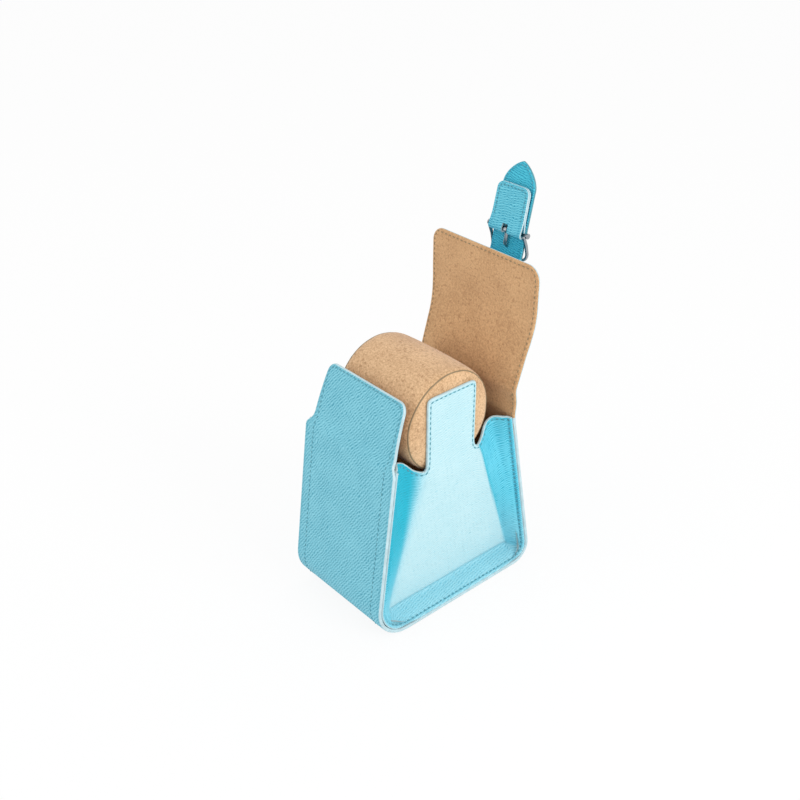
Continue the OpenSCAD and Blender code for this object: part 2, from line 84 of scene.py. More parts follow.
def dimmed(colour, share):
    return tuple(c * share for c in colour)


class Wire:
    # one output socket; an expression on it adds the Math node that works it out
    def __init__(self, nodes, socket):
        self.nodes = nodes
        self.socket = socket

    def calc(self, operation, *others):
        return self.nodes.add("ShaderNodeMath", {"operation": operation}, dict(enumerate((self,) + others)))

    def __add__(self, other):
        return self.calc("ADD", other)

    __radd__ = __add__

    def __mul__(self, other):
        return self.calc("MULTIPLY", other)

    __rmul__ = __mul__

    def __sub__(self, other):
        return self.calc("SUBTRACT", other)

    def __rsub__(self, other):
        return self.nodes.add("ShaderNodeMath", {"operation": "SUBTRACT"}, {0: other, 1: self})

    def smooth(self, low, high):
        return self.nodes.add(
            "ShaderNodeMapRange",
            {"interpolation_type": "SMOOTHSTEP"},
            {"Value": self, "From Min": low, "From Max": high},
        )


class Nodes:
    # one node tree; add makes a node, changes its settings, then fills its sockets
    def __init__(self, tree):
        self.tree = tree
        tree.nodes.clear()

    def add(self, kind, settings=None, inputs=None, output=0):
        node = self.tree.nodes.new(kind)
        for key, value in (settings or {}).items():
            setattr(node, key, value)
        for key, value in (inputs or {}).items():
            self.put(node.inputs[key], value)
        return Wire(self, node.outputs[output])

    def put(self, socket, value):
        if isinstance(value, Wire):
            self.tree.links.new(value.socket, socket)
        elif isinstance(value, tuple) and socket.type == "RGBA" and len(value) == 3:
            socket.default_value = value + (1.0,)
        else:
            socket.default_value = value


class Look(Nodes):
    # one material with its Principled shader
    def __init__(self, name):
        self.material = bpy.data.materials.new(name)
        self.material.use_nodes = True
        super().__init__(self.material.node_tree)
        self.out = self.tree.nodes.new("ShaderNodeOutputMaterial")
        self.shader = self.tree.nodes.new("ShaderNodeBsdfPrincipled")
        self.tree.links.new(self.shader.outputs[0], self.out.inputs[0])

    def mix(self, factor, a, b):
        return self.add("ShaderNodeMix", {"data_type": "RGBA"}, {0: factor, 6: a, 7: b}, 2)

    def vector(self, operation, a, b):
        return self.add("ShaderNodeVectorMath", {"operation": operation}, {0: a, 1: b})

    def attribute(self, name):
        return self.add("ShaderNodeAttribute", {"attribute_name": name}, {}, 2)

    def place(self):
        return self.add("ShaderNodeTexCoord", {}, {}, 3)

    def noise(self, place, scale, detail, output=0, rough=0.5):
        sockets = {"Vector": place, "Scale": scale, "Detail": detail, "Roughness": rough}
        return self.add("ShaderNodeTexNoise", {}, sockets, output)

    def bump(self, height, strength):
        return self.add("ShaderNodeBump", {}, {"Height": height, "Strength": strength, "Distance": 0.001})

    def finish(self, sockets):
        for key, value in sockets.items():
            self.put(self.shader.inputs[key], value)
        return self.material


def leatherLook(name, tint, turn, pitch=1.5, side=False):
    # Pressed grain: slanting ridges one pitch (mm) apart that wander and break. The height
    # is a sine across the ridges, plus that sine times one along them, times a patchy mask,
    # on the sheet's own UV in millimetres, so that it follows the bend. A side sheet also
    # has painted light on its middle and painted shade in its valley, both read from attributes.
    look = Look(name)
    body, deep = colours[tint], colours[tint + "Deep"]
    uv = look.add("ShaderNodeUVMap", {"uv_map": "sheetUV"})
    mapped = {"Vector": uv, "Rotation": (0, 0, rad(turn)), "Scale": (1000, 1000, 1)}
    turned = look.add("ShaderNodeMapping", {}, mapped)
    warp = look.noise(turned, 0.30, 2.0, 1)
    bent = look.vector("ADD", turned, look.vector("MULTIPLY", warp, (3.2, 2.4, 0)))
    x, y = (look.add("ShaderNodeSeparateXYZ", {}, {"Vector": bent}, k) for k in (0, 1))
    across = (y * (2 * math.pi / pitch)).calc("SINE")
    along = (x * (math.pi / pitch)).calc("SINE")
    mottle = look.noise(turned, 0.06, 3.0)
    patch = look.noise(turned, 0.16, 1.0).smooth(0.34, 0.60) * 0.6 + 0.5
    ridge = 0.5 + (across * 0.32 + across * along * 0.26) * patch
    tone = (ridge + (mottle - 0.5) * 0.4).smooth(0.0, 0.85)
    colour = look.mix(tone, deep, body)
    # painted shade along a crease, read from an attribute; it also sinks the bump there
    fold = look.attribute("fold")
    groove = 1 - (look.attribute("edgeDist") - seamInset).calc("ABSOLUTE").smooth(0.15, 0.75)
    # a side sheet: painted light on its middle face, then painted shade in its valley
    if side:
        pale = look.mix(tone, colours["paleDeep"], colours["pale"])
        colour = look.mix(look.attribute("pale"), colour, pale)
        valley = look.mix(tone, dimmed(colours["valley"], 0.8), colours["valley"])
        colour = look.mix(look.attribute("valley"), colour, valley)
    colour = look.mix(groove * 0.30, colour, deep)
    height = ridge * 0.16 + mottle * 0.05 - groove * 0.18 - fold * 0.35
    return look.finish({
        "Base Color": look.mix(fold * 0.75, colour, dimmed(deep, 0.6)),
        "Roughness": 0.62 - ridge * 0.12,
        "Normal": look.bump(height, 0.8),
        "Specular IOR Level": 0.3,
    })


def suedeLook(name, body, dark):
    # Suede: a very fine nap, soft clouds where it was brushed, and small darker specks.
    look = Look(name)
    place = look.place()
    nap = look.noise(place, 1000.0, 3.0, rough=0.7)
    cloud = look.noise(place, 60.0, 4.0)
    speck = look.noise(place, 620.0, 2.0).smooth(0.56, 0.68)
    shade = tuple(0.6 * d + 0.4 * b for d, b in zip(dark, body))
    colour = look.mix((nap * 0.85 + cloud * 0.30).smooth(0.38, 0.76), shade, body)
    return look.finish({
        "Base Color": look.mix(speck * 0.50, colour, dark),
        "Roughness": 0.95,
        "Normal": look.bump(nap * 0.25 + cloud * 0.2 - speck * 0.1, 0.7),
        "Specular IOR Level": 0.12,
        "Sheen Weight": 0.25,
        "Sheen Roughness": 0.5,
    })


def paintLook(name, colour):
    # Edge paint: smooth, slightly uneven in tone.
    look = Look(name)
    cloud = look.noise(look.place(), 260.0, 3.0)
    return look.finish({
        "Base Color": look.mix(cloud.smooth(0.3, 0.75), dimmed(colour, 0.86), colour),
        "Roughness": 0.38,
        "Normal": look.bump(cloud * 0.1, 0.5),
    })


def threadLook(name, colour):
    # Twisted thread: fine stripes across each stitch.
    look = Look(name)
    sockets = {"Vector": look.place(), "Scale": 900.0, "Distortion": 1.0}
    wave = look.add("ShaderNodeTexWave", {"bands_direction": "DIAGONAL"}, sockets)
    return look.finish({
        "Base Color": look.mix(wave * 0.5, colour, dimmed(colour, 0.6)),
        "Roughness": 0.7,
        "Normal": look.bump(wave * 0.08, 0.6),
    })


def steelLook(name, colour):
    # Polished steel with faint smears in the polish.
    look = Look(name)
    smear = look.noise(look.place(), 300.0, 3.0)
    return look.finish({
        "Base Color": look.mix(smear.smooth(0.3, 0.8), dimmed(colour, 0.85), colour),
        "Roughness": 0.16 + smear * 0.14,
        "Metallic": 1.0,
    })


looks = {
    "leather": leatherLook("pressedLeather", "turquoise", 56),
    # the gusset sides, with painted light and painted shade read from attributes
    "leatherSide": leatherLook("pressedLeatherSide", "wing", -12, side=True),
    "leatherStrap": leatherLook("pressedLeatherStrap", "strap", 8, 1.25),
    # a darker copy of the strap leather: painted shade on the strap's inner layers
    "leatherStrapShaded": leatherLook("pressedLeatherStrapShaded", "tip", 8, 1.25),
    "edge": paintLook("edgePaint", colours["edgePaint"]),
    "edgeTeal": paintLook("edgePaintTeal", colours["edgeTeal"]),
    "suede": suedeLook("tanSuede", colours["suede"], colours["suedeDark"]),
    "suedeCushion": suedeLook("tanSuedeCushion", colours["suedeCushion"], colours["suedeDark"]),
    "thread": threadLook("thread", colours["thread"]),
    "threadTan": threadLook("threadTan", colours["threadTan"]),
    "steel": steelLook("polishedSteel", colours["steel"]),
}
print("looks made")

# The body strip in millimetres: the same sizes as the solids have.
strip = {
    "width": 72.5,
    "depth": 120.8,
    "hem": 106.0,
    "frontLean": 7.2,
    "backLean": 10.8,
    "frontRadius": 21.0,
    "backRadius": 11.0,
    "leather": 1.3,
    "total": 2.1,
    "tongueTop": 139.5,
    "tongueFoot": 65.6,
    "tongueHead": 60.0,
    "tongueRise": 4.5,
    "tongueLean": 19.6,
    "tongueIn": 3.3,
    "tongueBow": 0.7,
    "tongueCorner": 5.0,
}

# The flap: its shape, the heights of its folds and of the cut in the back wall, and how far
# from its root the pieces meet.
flap = {
    "top": 191.0,
    "rootRise": 1.9,
    "rootWidth": 73.4,
    "topWidth": 78.6,
    "corner": 8.0,
    "lean": 17.5,
    "lowBend": 29.0,
    "highBend": 75.0,
    "run": 22.0,
    "waist": 36.0,
    "full": 60.0,
    "wallCut": 94.0,
    "lowCut": 11.0,
    "midCut": 36.5,
    "foldLow": 128.6,
    "foldHigh": 156.6,
}


def unit(v):
    return v / np.maximum(np.linalg.norm(v, axis=-1, keepdims=True), 1e-12)


def runOf(p):
    # the length along a polyline at each of its points
    return np.r_[0, np.cumsum(np.linalg.norm(np.diff(p, axis=0), axis=1))]


def atRun(p, run, s):
    # the points of a polyline at the lengths s
    return np.stack([np.interp(s, run, p[:, k]) for k in range(p.shape[1])], -1)


def wallLine(z, lean):
    # half depth of the strip's outside at height z
    return strip["depth"] / 2 - z * math.tan(rad(lean))


def cornerCentre(r, lean):
    # how far from the middle a round corner's centre lies, so that it meets its wall
    return strip["depth"] / 2 - r / math.tan(rad((90 - lean) / 2))


def stripPoints():
    # The outer profile in Y and Z: the tongue's bowed line, the front wall, the round
    # front corner, the floor, the back corner and the back wall up to the flap's root.
    pts = []
    hem, frontLean, backLean = strip["hem"], strip["frontLean"], strip["backLean"]
    footZ = hem + strip["tongueRise"]
    footY = -(wallLine(hem, frontLean) - strip["tongueIn"])
    rise = strip["tongueTop"] - footZ
    for t in np.linspace(1, 0, 13):
        bow = 4 * strip["tongueBow"] * t * (1 - t)
        pts.append((footY + rise * math.tan(rad(strip["tongueLean"])) * t - bow, footZ + rise * t))
    pts.append((-wallLine(hem, frontLean) + strip["tongueIn"] * 0.42, hem + 2.0))
    pts.append((-wallLine(hem - 1, frontLean), hem - 1))
    r = strip["frontRadius"]
    pts += [(-wallLine(z, frontLean), z) for z in np.linspace(hem - 8, r * 1.3, 6)]
    centre = -cornerCentre(r, frontLean)
    for a in np.linspace(180 - frontLean, 270, 25):
        pts.append((centre + r * math.cos(rad(a)), r + r * math.sin(rad(a))))
    r = strip["backRadius"]
    centre = cornerCentre(r, backLean)
    for a in np.linspace(270, 360 + backLean, 25):
        pts.append((centre + r * math.cos(rad(a)), r + r * math.sin(rad(a))))
    pts += [(wallLine(z, backLean), z) for z in np.linspace(r * 2, hem + 1.5, 6)]
    return pts


def flapPoints():
    # The open flap: an arc that bends it backwards, a straight lean, and a long arc that
    # brings it upright again.
    z = strip["hem"] + flap["rootRise"]
    y = wallLine(z, strip["backLean"])
    lean, low = flap["lean"], -strip["backLean"]
    sine, cosine = math.sin(rad(lean)), math.cos(rad(lean))
    pts = []
    for a in np.linspace(low, lean, 15):
        out, up = math.cos(rad(a)) - math.cos(rad(low)), math.sin(rad(a)) - math.sin(rad(low))
        pts.append((y + flap["lowBend"] * out, z + flap["lowBend"] * up))
    y, z = pts[-1]
    for k in range(1, 9):
        pts.append((y + flap["run"] * sine * k / 8, z + flap["run"] * cosine * k / 8))
    y, z = pts[-1]
    for a in np.linspace(lean, 0, 25)[1:]:
        out, up = math.cos(rad(a)) - cosine, sine - math.sin(rad(a))
        pts.append((y + flap["highBend"] * out, z + flap["highBend"] * up))
    y, z = pts[-1]
    pts += [(y, z + (flap["top"] - z) * k / 10) for k in range(1, 11)]
    return pts


class Track:
    # A smooth curve in a plane, sampled every 0.25 mm and softened three times with a
    # moving mean, with its length, its direction and its outward normal.
    def __init__(self, points, soften):
        p = np.array(points, float)
        run = runOf(p)
        keep = np.r_[True, np.diff(run) > 1e-6]
        n = int(run[-1] / 0.25) + 1
        q = atRun(p[keep], run[keep], np.linspace(0, run[-1], n))
        width = int(soften / 0.25)
        kernel = np.full(2 * width + 1, 1 / (2 * width + 1))
        for repeat in range(3 if width > 1 else 0):
            before, after = 2 * q[:1] - q[width:0:-1], 2 * q[-1:] - q[-2:-width - 2:-1]
            padded = np.concatenate([before, q, after])
            soft = np.stack([np.convolve(padded[:, k], kernel, "same") for k in (0, 1)], -1)
            q = soft[width:width + n]
        self.s = runOf(q)
        self.q = q
        d = unit(np.gradient(q, self.s, axis=0))
        self.n = np.stack([d[:, 1], -d[:, 0]], -1)
        self.length = self.s[-1]

    def at(self, s):
        return atRun(self.q, self.s, s), unit(atRun(self.n, self.s, s))

    def where(self, height, first=0.0, last=math.inf):
        # the length at which the curve comes nearest to a height, between two lengths
        inside = (self.s >= first) & (self.s <= last)
        away = np.where(inside, np.abs(self.q[:, 1] - height), math.inf)
        return float(self.s[np.argmin(away)])


track = Track(stripPoints() + flapPoints(), 1.2)
stripLength = Track(stripPoints(), 0.0).length
print("profile", round(track.length, 1), "strip", round(stripLength, 1))


def roundCorner(z, top, k):
    # how much a round corner of radius k takes off the half width just below the top
    into = np.clip((z - (top - k)) / k, 0, 1)
    return k * (1 - np.sqrt(np.clip(1 - into * into, 0, 1)))


def halfWidth(s):
    # half width of the whole sheet: the front tongue with its round corners, the plain
    # strip, and the flap with its waist, its shoulders and its round corners
    s = np.asarray(s, float)
    z = np.interp(s, track.s, track.q[:, 1])
    half, hem, top = strip["width"] / 2, strip["hem"], strip["tongueTop"]
    heights = [hem - 1.2, hem - 0.2, hem + strip["tongueRise"] - 1.6, top]
    halves = [half, half - 0.6, strip["tongueFoot"] / 2, strip["tongueHead"] / 2]
    tongue = np.interp(z, heights, halves) - roundCorner(z, top, strip["tongueCorner"])
    r, w = flap["rootWidth"] / 2, flap["topWidth"] / 2
    waist, full = hem + flap["waist"], hem + flap["full"]
    heights = [hem - 3, hem + 1, waist, waist + 8, full - 8, full]
    halves = [half, r, r + 0.6, r + 1.25, w - 0.5, w]
    up = np.interp(z, heights, halves) - roundCorner(z, flap["top"], flap["corner"])
    front = (s < stripLength * 0.45) & (z > hem - 1.2)
    back = (s > stripLength * 0.55) & (z > hem - 3)
    return np.where(front, tongue, np.where(back, up, half))


def softWidth(s):
    # the half width with its inner corners rounded, by a mean over a short length
    steps = np.linspace(-1.1, 1.1, 9)
    ends = np.clip(np.minimum(s, track.length - s) / 6.0 - 0.6, 0, 1)
    mean = np.mean([halfWidth(np.clip(s + d, 0, track.length)) for d in steps], axis=0)
    return halfWidth(s) * (1 - ends) + mean * ends


def crossColumns(w, inner):
    # places across a sheet: close together at both edges, even between them
    w = np.asarray(w, float)[:, None]
    steps = edgeSteps[None, :]
    steps = np.minimum(steps, w * 0.5 * steps / edgeSteps[-1] + steps * 0.2)
    left = -w + steps
    right = w - steps[:, ::-1]
    t = np.linspace(0, 1, inner + 2)[1:-1][None, :]
    middle = left[:, -1:] + (right[:, :1] - left[:, -1:]) * t
    return np.concatenate([left, middle, right], axis=1)


def spread(values, shape):
    # one value per row of a grid, the same all along its row
    return np.broadcast_to(values[:, None], shape)


def sideInset(w, x, s):
    # distance to a sheet's side edge: what is left of the half width, along the slope
    return (w[:, None] - np.abs(x)) / np.sqrt(1 + np.gradient(w, s)[:, None] ** 2)


def newObject(name, verts, faces, materials, faceLook=None, uv=None, values=None, smooth=True):
    mesh = bpy.data.meshes.new(name)
    if isinstance(faces, np.ndarray):
        faces = faces.tolist()
    mesh.from_pydata(np.asarray(verts).tolist(), [], faces)
    for m in materials:
        mesh.materials.append(m)
    if faceLook is not None:
        mesh.polygons.foreach_set("material_index", np.asarray(faceLook, np.int32))
    mesh.polygons.foreach_set("use_smooth", np.broadcast_to(smooth, len(mesh.polygons)).tolist())
    if uv is not None:
        corner = np.empty(len(mesh.loops), np.int32)
        mesh.loops.foreach_get("vertex_index", corner)
        layer = mesh.uv_layers.new(name="sheetUV")
        layer.data.foreach_set("uv", np.asarray(uv, np.float32)[corner].ravel())
    for key, value in (values or {}).items():
        mesh.attributes.new(key, "FLOAT", "POINT").data.foreach_set("value", np.asarray(value, np.float32))
    mesh.update()
    piece = bpy.data.objects.new(name, mesh)
    bpy.context.scene.collection.objects.link(piece)
    return piece


def sheetPiece(
    name, place, normal, inset, uv, sizes, outer, faceMaterial,
    values=None, flip=False, cuts="", paint=0.62, rim="edge", plain="", slim=None, paintAt=None,
):
    # One layer of a two-layer sheet. place is the sheet's outer face. The whole sheet has
    # a round rim, its half thickness h = t/2 * sqrt(1 - (1 - inset/rim)^2) where inset, the
    # distance to the free outline, is small; split is where the layers meet. paint is how
    # far the edge paint reaches onto the face; cuts are sides that go on in the next piece,
    # plain ones stay unpainted, and slim thins the sheet.
    rows, cols = inset.shape
    half = sizes["total"] / 2
    split = sizes["leather"] + layerGap / 2
    slim = np.ones(inset.shape) if slim is None else slim
    into = np.clip((inset + 0.02) / (half * 0.92), 0, 1)
    swell = slim * half * np.sqrt(np.clip(1 - (1 - into) ** 2, 0, 1))
    meet = np.clip(half - split, -0.4 * swell, 0.4 * swell)
    top, low = (swell, meet + 0.01 * swell) if outer else (meet - 0.01 * swell, -swell)
    middle = place - normal * half * slim[..., None]
    upper = (middle + normal * top[..., None]).reshape(-1, 3)
    lower = (middle + normal * low[..., None]).reshape(-1, 3)
    index = np.arange(rows * cols).reshape(rows, cols)
    a, b, c, d = index[:-1, :-1], index[:-1, 1:], index[1:, 1:], index[1:, :-1]
    front = np.stack([a, b, c, d], -1).reshape(-1, 4)
    near = (inset if paintAt is None else paintAt).reshape(-1)
    painted = np.max(near[front], axis=1) < paint
    faces, kind = [front, front[:, ::-1] + rows * cols], [painted] * 2
    smooth = [np.ones(2 * len(front), bool)]
    verts, source, count = [upper, lower], [np.arange(rows * cols)] * 2, 2 * rows * cols
    ends = {"first": index[0, ::-1], "right": index[::-1, -1], "last": index[-1], "left": index[:, 0]}
    for side, v in ends.items():
        n, cut = len(v), side in cuts
        one, two = v, v + rows * cols
        if cut:
            # a cut end has its own points, so that it doesn't tint the shading beside it
            verts += [upper[v], lower[v]]
            source += [v, v]
            one, two = np.arange(n) + count, np.arange(n, 2 * n) + count
            count += 2 * n
        faces.append(np.stack([one[:-1], one[1:], two[1:], two[:-1]], -1))
        kind.append(np.full(n - 1, not cut and side not in plain))
        smooth.append(np.full(n - 1, not cut))
    faces = np.concatenate(faces)
    if flip:
        faces = faces[:, ::-1]
    source = np.concatenate(source)
    kept = {"edgeDist": inset.reshape(-1)[source]}
    for key, value in (values or {}).items():
        kept[key] = value.reshape(-1)[source]
    return newObject(
        name, np.concatenate(verts) * mm, faces, [faceMaterial, looks[rim]],
        np.concatenate(kind).astype(int), uv.reshape(-1, 2)[source] * mm, kept, np.concatenate(smooth))


def bandGrid(first, last):
    # the reference grid of the long sheet between two lengths along its profile
    end = track.length
    rows = int((last - first) / 1.3)
    s = np.linspace(first, last, max(3, rows + 1))
    if first < 0.5:
        s = np.r_[edgeSteps, np.linspace(edgeSteps[-1], last, max(3, rows))]
    if last > end - 0.5:
        s = np.r_[np.linspace(first, end - edgeSteps[-1], max(3, rows)), end - edgeSteps]
    if first > 0.5:
        s = np.r_[s, first + 0.15, first + 0.5]
    if last < end - 0.5:
        s = np.r_[s, last - 0.5, last - 0.15]
    s = np.unique(s)
    w = softWidth(s)
    x = crossColumns(w, 44)
    p, n = track.at(s)
    place = np.stack([x, spread(p[:, 0], x.shape), spread(p[:, 1], x.shape)], -1)
    normal = np.stack([np.zeros_like(x), spread(n[:, 0], x.shape), spread(n[:, 1], x.shape)], -1)
    inset = np.minimum(sideInset(w, x, s), np.minimum(s, end - s)[:, None])
    return place, normal, inset, np.stack([x, spread(s, x.shape)], -1)


rootS = stripLength + 0.3
wallCut = track.where(flap["wallCut"], stripLength * 0.6, rootS)
lowCut, midCut = rootS + flap["lowCut"], rootS + flap["midCut"]
foldLow, foldHigh = track.where(flap["foldLow"], rootS), track.where(flap["foldHigh"], rootS)
bands = {
    "shell": (0.0, wallCut),
    "flapRoot": (wallCut, lowCut),
    "flapMiddle": (lowCut, midCut),
    "flapHead": (midCut, track.length),
}


def trackSpot(s):
    # the place 1 mm inside the sheet's outer face at a length, in metres
    p, n = track.at(np.array([s]))
    q = (p - n)[0] * mm
    return (0.0, float(q[0]), float(q[1]))


bends = {
    "flapRoot": ("case", "flap_low", trackSpot(rootS - 7), trackSpot(rootS + 7)),
    "flapMiddle": ("flap_low", "flap_mid", trackSpot(foldLow - 8), trackSpot(foldLow + 8)),
    "flapHead": ("flap_mid", "flap_top", trackSpot(foldHigh - 9), trackSpot(foldHigh + 9)),
}
bandNodes = {
    "shell": ("shell_leather", "shell_lining"),
    "flapRoot": ("flap_low_leather", "flap_low_lining"),
    "flapMiddle": ("flap_mid_leather", "flap_mid_lining"),
    "flapHead": ("flap_top_leather", "flap_top_lining"),
}


def carry(piece, band):
    # the piece stands on the case, or, where its band joins two bodies, has its transform baked in
    if band in bends:
        a, b, start, end = bends[band]
        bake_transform(piece)
        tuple(start)
        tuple(end)
    else:
        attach(piece, "case")


for band, (first, last) in bands.items():
    grid = bandGrid(first, last)
    whole = band == "shell"
    # under the gussets the edge paint runs 2 mm further in, past the seam
    painted = grid[2] - 2.0 * (grid[0][..., 2] < strip["hem"])
    cuts = {"shell": "last", "flapHead": "first"}.get(band, "first last")
    outer = sheetPiece(band + "Leather", *grid, strip, True, looks["leather"], cuts=cuts)
    inner = sheetPiece(
        band + "Lining", *grid, strip, False, looks["suede"], cuts=cuts,
        paint=1.1 if whole else -1.0, plain="" if whole else "left right last", paintAt=painted)
    slots = ("leather_turquoise", "suede_tan")
    for piece, node, slotName in zip((outer, inner), bandNodes[band], slots):
        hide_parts(node)
        carry(piece, band)
print("strip and flap sheets made")

# The gussets. The flange is the part that lies flat against the strip, given as its width
# and as its share of the wing.
gusset = {
    "leather": 1.1,
    "total": 1.8,
    "seam": 0.3,
    "flange": 2.9,
    "flangeShare": 0.05,
    "faceTop": 31.5,
    "faceLow": 24.2,
    "crease": 8.4,
    "creaseFront": -41.0,
    "creaseBack": 50.0,
    "bow": 7.4,
    "notch": 11.5,
    "frontFillet": 2.4,
    "backFillet": 4.0,
    "tongueTop": 137.0,
    "tongueWidth": 34.0,
    "tongueMiddle": -3.0,
    "tongueCorner": 3.0,
}

# The cushion, which the gussets' faces rise to. The last three say how it swells, in metres
# and pressure.
cushion = {
    "radius": 29.8,
    "half": 29.2,
    "crown": 0.8,
    "shoulder": 2.2,
    "y": -2.6,
    "z": 116.8,
    "voxel": 0.0022,
    "pressure": 4.0,
    "swell": 0.0005,
}


def innerY(z, d, lean, r):
    # half depth of the strip's inside at height z, at the distance d from its outer face
    if z > r + (r - d) * math.sin(rad(lean)):
        return wallLine(z, lean) - d / math.cos(rad(lean))
    return cornerCentre(r, lean) + math.sqrt(max(0.0, (r - d) ** 2 - (z - r) ** 2))


hemDepth = strip["total"] + gusset["seam"] + gusset["total"]
wingZ = strip["hem"] - gusset["notch"]
tongueSide = gusset["tongueWidth"] / 2
faceTopZ = cushion["z"] - cushion["radius"] + 0.6
creaseEnds = {
    False: (gusset["creaseFront"], gusset["tongueMiddle"] - tongueSide - gusset["frontFillet"]),
    True: (gusset["creaseBack"], gusset["tongueMiddle"] + tongueSide + gusset["backFillet"]),
}


def edgeY(z, back):
    if back:
        return innerY(z, hemDepth, strip["backLean"], strip["backRadius"])
    return -innerY(z, hemDepth, strip["frontLean"], strip["frontRadius"])


def faceX(z):
    rise = (z - gusset["crease"]) / (faceTopZ - gusset["crease"])
    return min(gusset["faceTop"], gusset["faceLow"] + rise * (gusset["faceTop"] - gusset["faceLow"]))


def creaseY(z, back):
    low, high = creaseEnds[back]
    return low + (high - low) * min(1.0, max(0.0, (z - gusset["crease"]) / (wingZ - gusset["crease"])))


def halfTongue(fillet, low):
    # Half of the tongue's outline as (foot, offset from its middle, height): a concave
    # quarter circle, the straight side, a round corner and half of the top edge.
    # Each foot is where the column that ends there starts, on the bottom crease.
    side, top, k = tongueSide, gusset["tongueTop"], gusset["tongueCorner"]
    out = []
    for a, foot in zip(np.linspace(0, 90, 9)[1:], np.linspace(low, side - 0.2, 9)[1:]):
        out.append((foot, side + fillet * (1 - math.sin(rad(a))), wingZ + fillet * (1 - math.cos(rad(a)))))
    for q in np.linspace(0, 1, 18)[1:]:
        out.append((side - 0.2 - 3.0 * q, side, wingZ + fillet + (top - k - wingZ - fillet) * q))
    for a, q in zip(np.linspace(0, 90, 9)[1:], np.linspace(0, 1, 9)[1:]):
        out.append((side - 3.2 - 2.4 * q, side - k + k * math.cos(rad(a)), top - k + k * math.sin(rad(a))))
    for q in np.linspace(1, 0, 9)[1:-1]:
        out.append(((side - 5.6) * q, (side - k) * q, top))
    return out


def gussetGrid():
    # Columns run from the front hem over the wing, the face with its tongue and the back
    # wing to the back hem; rows run from the floor hem over the crease to the top edge.
    # A wing leaves the hem flat against the strip, dives inwards by the bow and comes back
    # out to its crease; the dive grows towards the hems as a smooth step of the height.
    wide, mid = strip["width"] / 2, gusset["tongueMiddle"]
    knots = [0, 0.05, 0.26, 0.52, 0.78, 1]
    bows = [0, 0.05, 1, 0.9, 0.42, 0]
    tops = [strip["hem"], strip["hem"], strip["hem"] - 0.3, strip["hem"] - 3, wingZ + 2.2, wingZ]
    share, flat = gusset["flangeShare"], gusset["flange"]
    hem = edgeSteps / flat * share
    ins = np.concatenate([hem, np.linspace(share, 1, 27)[1:]])
    wingTops = np.interp(ins, knots, tops)
    wingBows = np.interp(ins, knots, bows)
    frontFoot, backFoot = mid - creaseEnds[False][0], creaseEnds[True][0] - mid
    front = [(mid - b, mid - a, z) for a, b, z in halfTongue(gusset["frontFillet"], frontFoot)]
    back = [(mid + b, mid + a, z) for a, b, z in halfTongue(gusset["backFillet"], backFoot)]
    columns = front + [(mid, mid, gusset["tongueTop"])] + back[::-1]
    rows = np.unique(np.r_[np.linspace(0, 0.12, 9), np.linspace(0.12, 0.97, 44), 1 - edgeSteps / 92])

    def wing(z, u, bow, back):
        e, c, sign = edgeY(z, back), creaseY(z, back), -1 if back else 1
        if u <= share:
            return (wide - flat * u / share, e + sign * 0.5 * u / share, z)
        k = min(1.0, max(0.0, (z - strip["hem"] * 0.4) / (strip["hem"] * 0.6)))
        dive = gusset["bow"] * k * k * (3 - 2 * k) * bow
        return (wide + (faceX(z) - wide) * u - dive, e + (c - e) * u, z)

    def rowOf(f):
        out = []
        for u, top, bow in zip(ins, wingTops, wingBows):
            out.append(wing(gusset["crease"] + (top - gusset["crease"]) * f, u, bow, False))
        for high, low, top in columns:
            z = gusset["crease"] + (top - gusset["crease"]) * f
            out.append((faceX(z), low + (high - low) * f, z))
        for u, top, bow in zip(ins[::-1], wingTops[::-1], wingBows[::-1]):
            out.append(wing(gusset["crease"] + (top - gusset["crease"]) * f, u, bow, True))
        return np.array(out)

    base = rowOf(0.0)
    a, b = edgeY(gusset["crease"], False), edgeY(gusset["crease"], True)
    between = (base[:, 1] - a) / (b - a)
    floor = []
    folds = [0, 0.35, 1.9, gusset["crease"] - hemDepth]
    flange = np.linspace(hemDepth + 0.02, gusset["crease"], 10)[:-1]
    for z in np.concatenate([hemDepth + edgeSteps * 0.002, flange]):
        x = np.interp(z - hemDepth, folds, [wide, wide - 3, wide - 7.6, 0])
        if z < hemDepth + 0.01:
            x = wide - (z - hemDepth) / 0.002
        low, high = edgeY(z, False), edgeY(z, True)
        across = low + (high - low) * between
        floor.append(np.stack([np.maximum(x, base[:, 0]), across, np.full(len(across), z)], -1))
    grid = np.concatenate([np.array(floor), np.array([rowOf(f) for f in rows])])
    weight = np.zeros(grid.shape[:2])
    weight[:, len(edgeSteps):-len(edgeSteps)] = 1
    for repeat in range(6):
        soft = grid.copy()
        soft[:, 1:-1] = (grid[:, :-2] + 2 * grid[:, 1:-1] + grid[:, 2:]) / 4
        grid += (soft - grid) * weight[..., None]
    n = len(floor)
    for repeat in range(3):
        soft = grid.copy()
        soft[1:-1] = (grid[:-2] + 2 * grid[1:-1] + grid[2:]) / 4
        grid[len(edgeSteps):n + 6] = soft[len(edgeSteps):n + 6]
    return grid, n, len(ins)


def gridNormals(p):
    return unit(np.cross(np.gradient(p, axis=1), np.gradient(p, axis=0)))


def rimDistance(p, line):
    # distance of each grid point to the nearest point of a line on the grid
    run = runOf(line)
    near = atRun(line, run, np.arange(0, run[-1], 0.15))
    flat = p.reshape(-1, 3)
    out = np.empty(len(flat))
    for k in range(0, len(flat), 500):
        d = flat[k:k + 500, None, :] - near[None]
        out[k:k + 500] = np.sqrt((d * d).sum(-1).min(1))
    return out.reshape(p.shape[:2])


fine, floorRows, wingColumns = gussetGrid()
fineNormal = gridNormals(fine)
fineNormal[:len(edgeSteps)] = (0, 0, 1)
fineInset = rimDistance(fine, np.concatenate([fine[0], fine[:, -1], fine[-1][::-1], fine[:, 0][::-1]]))
fineInset[0] = fineInset[-1] = 0
fineInset[:, 0] = fineInset[:, -1] = 0
topDistance = rimDistance(fine, fine[-1])
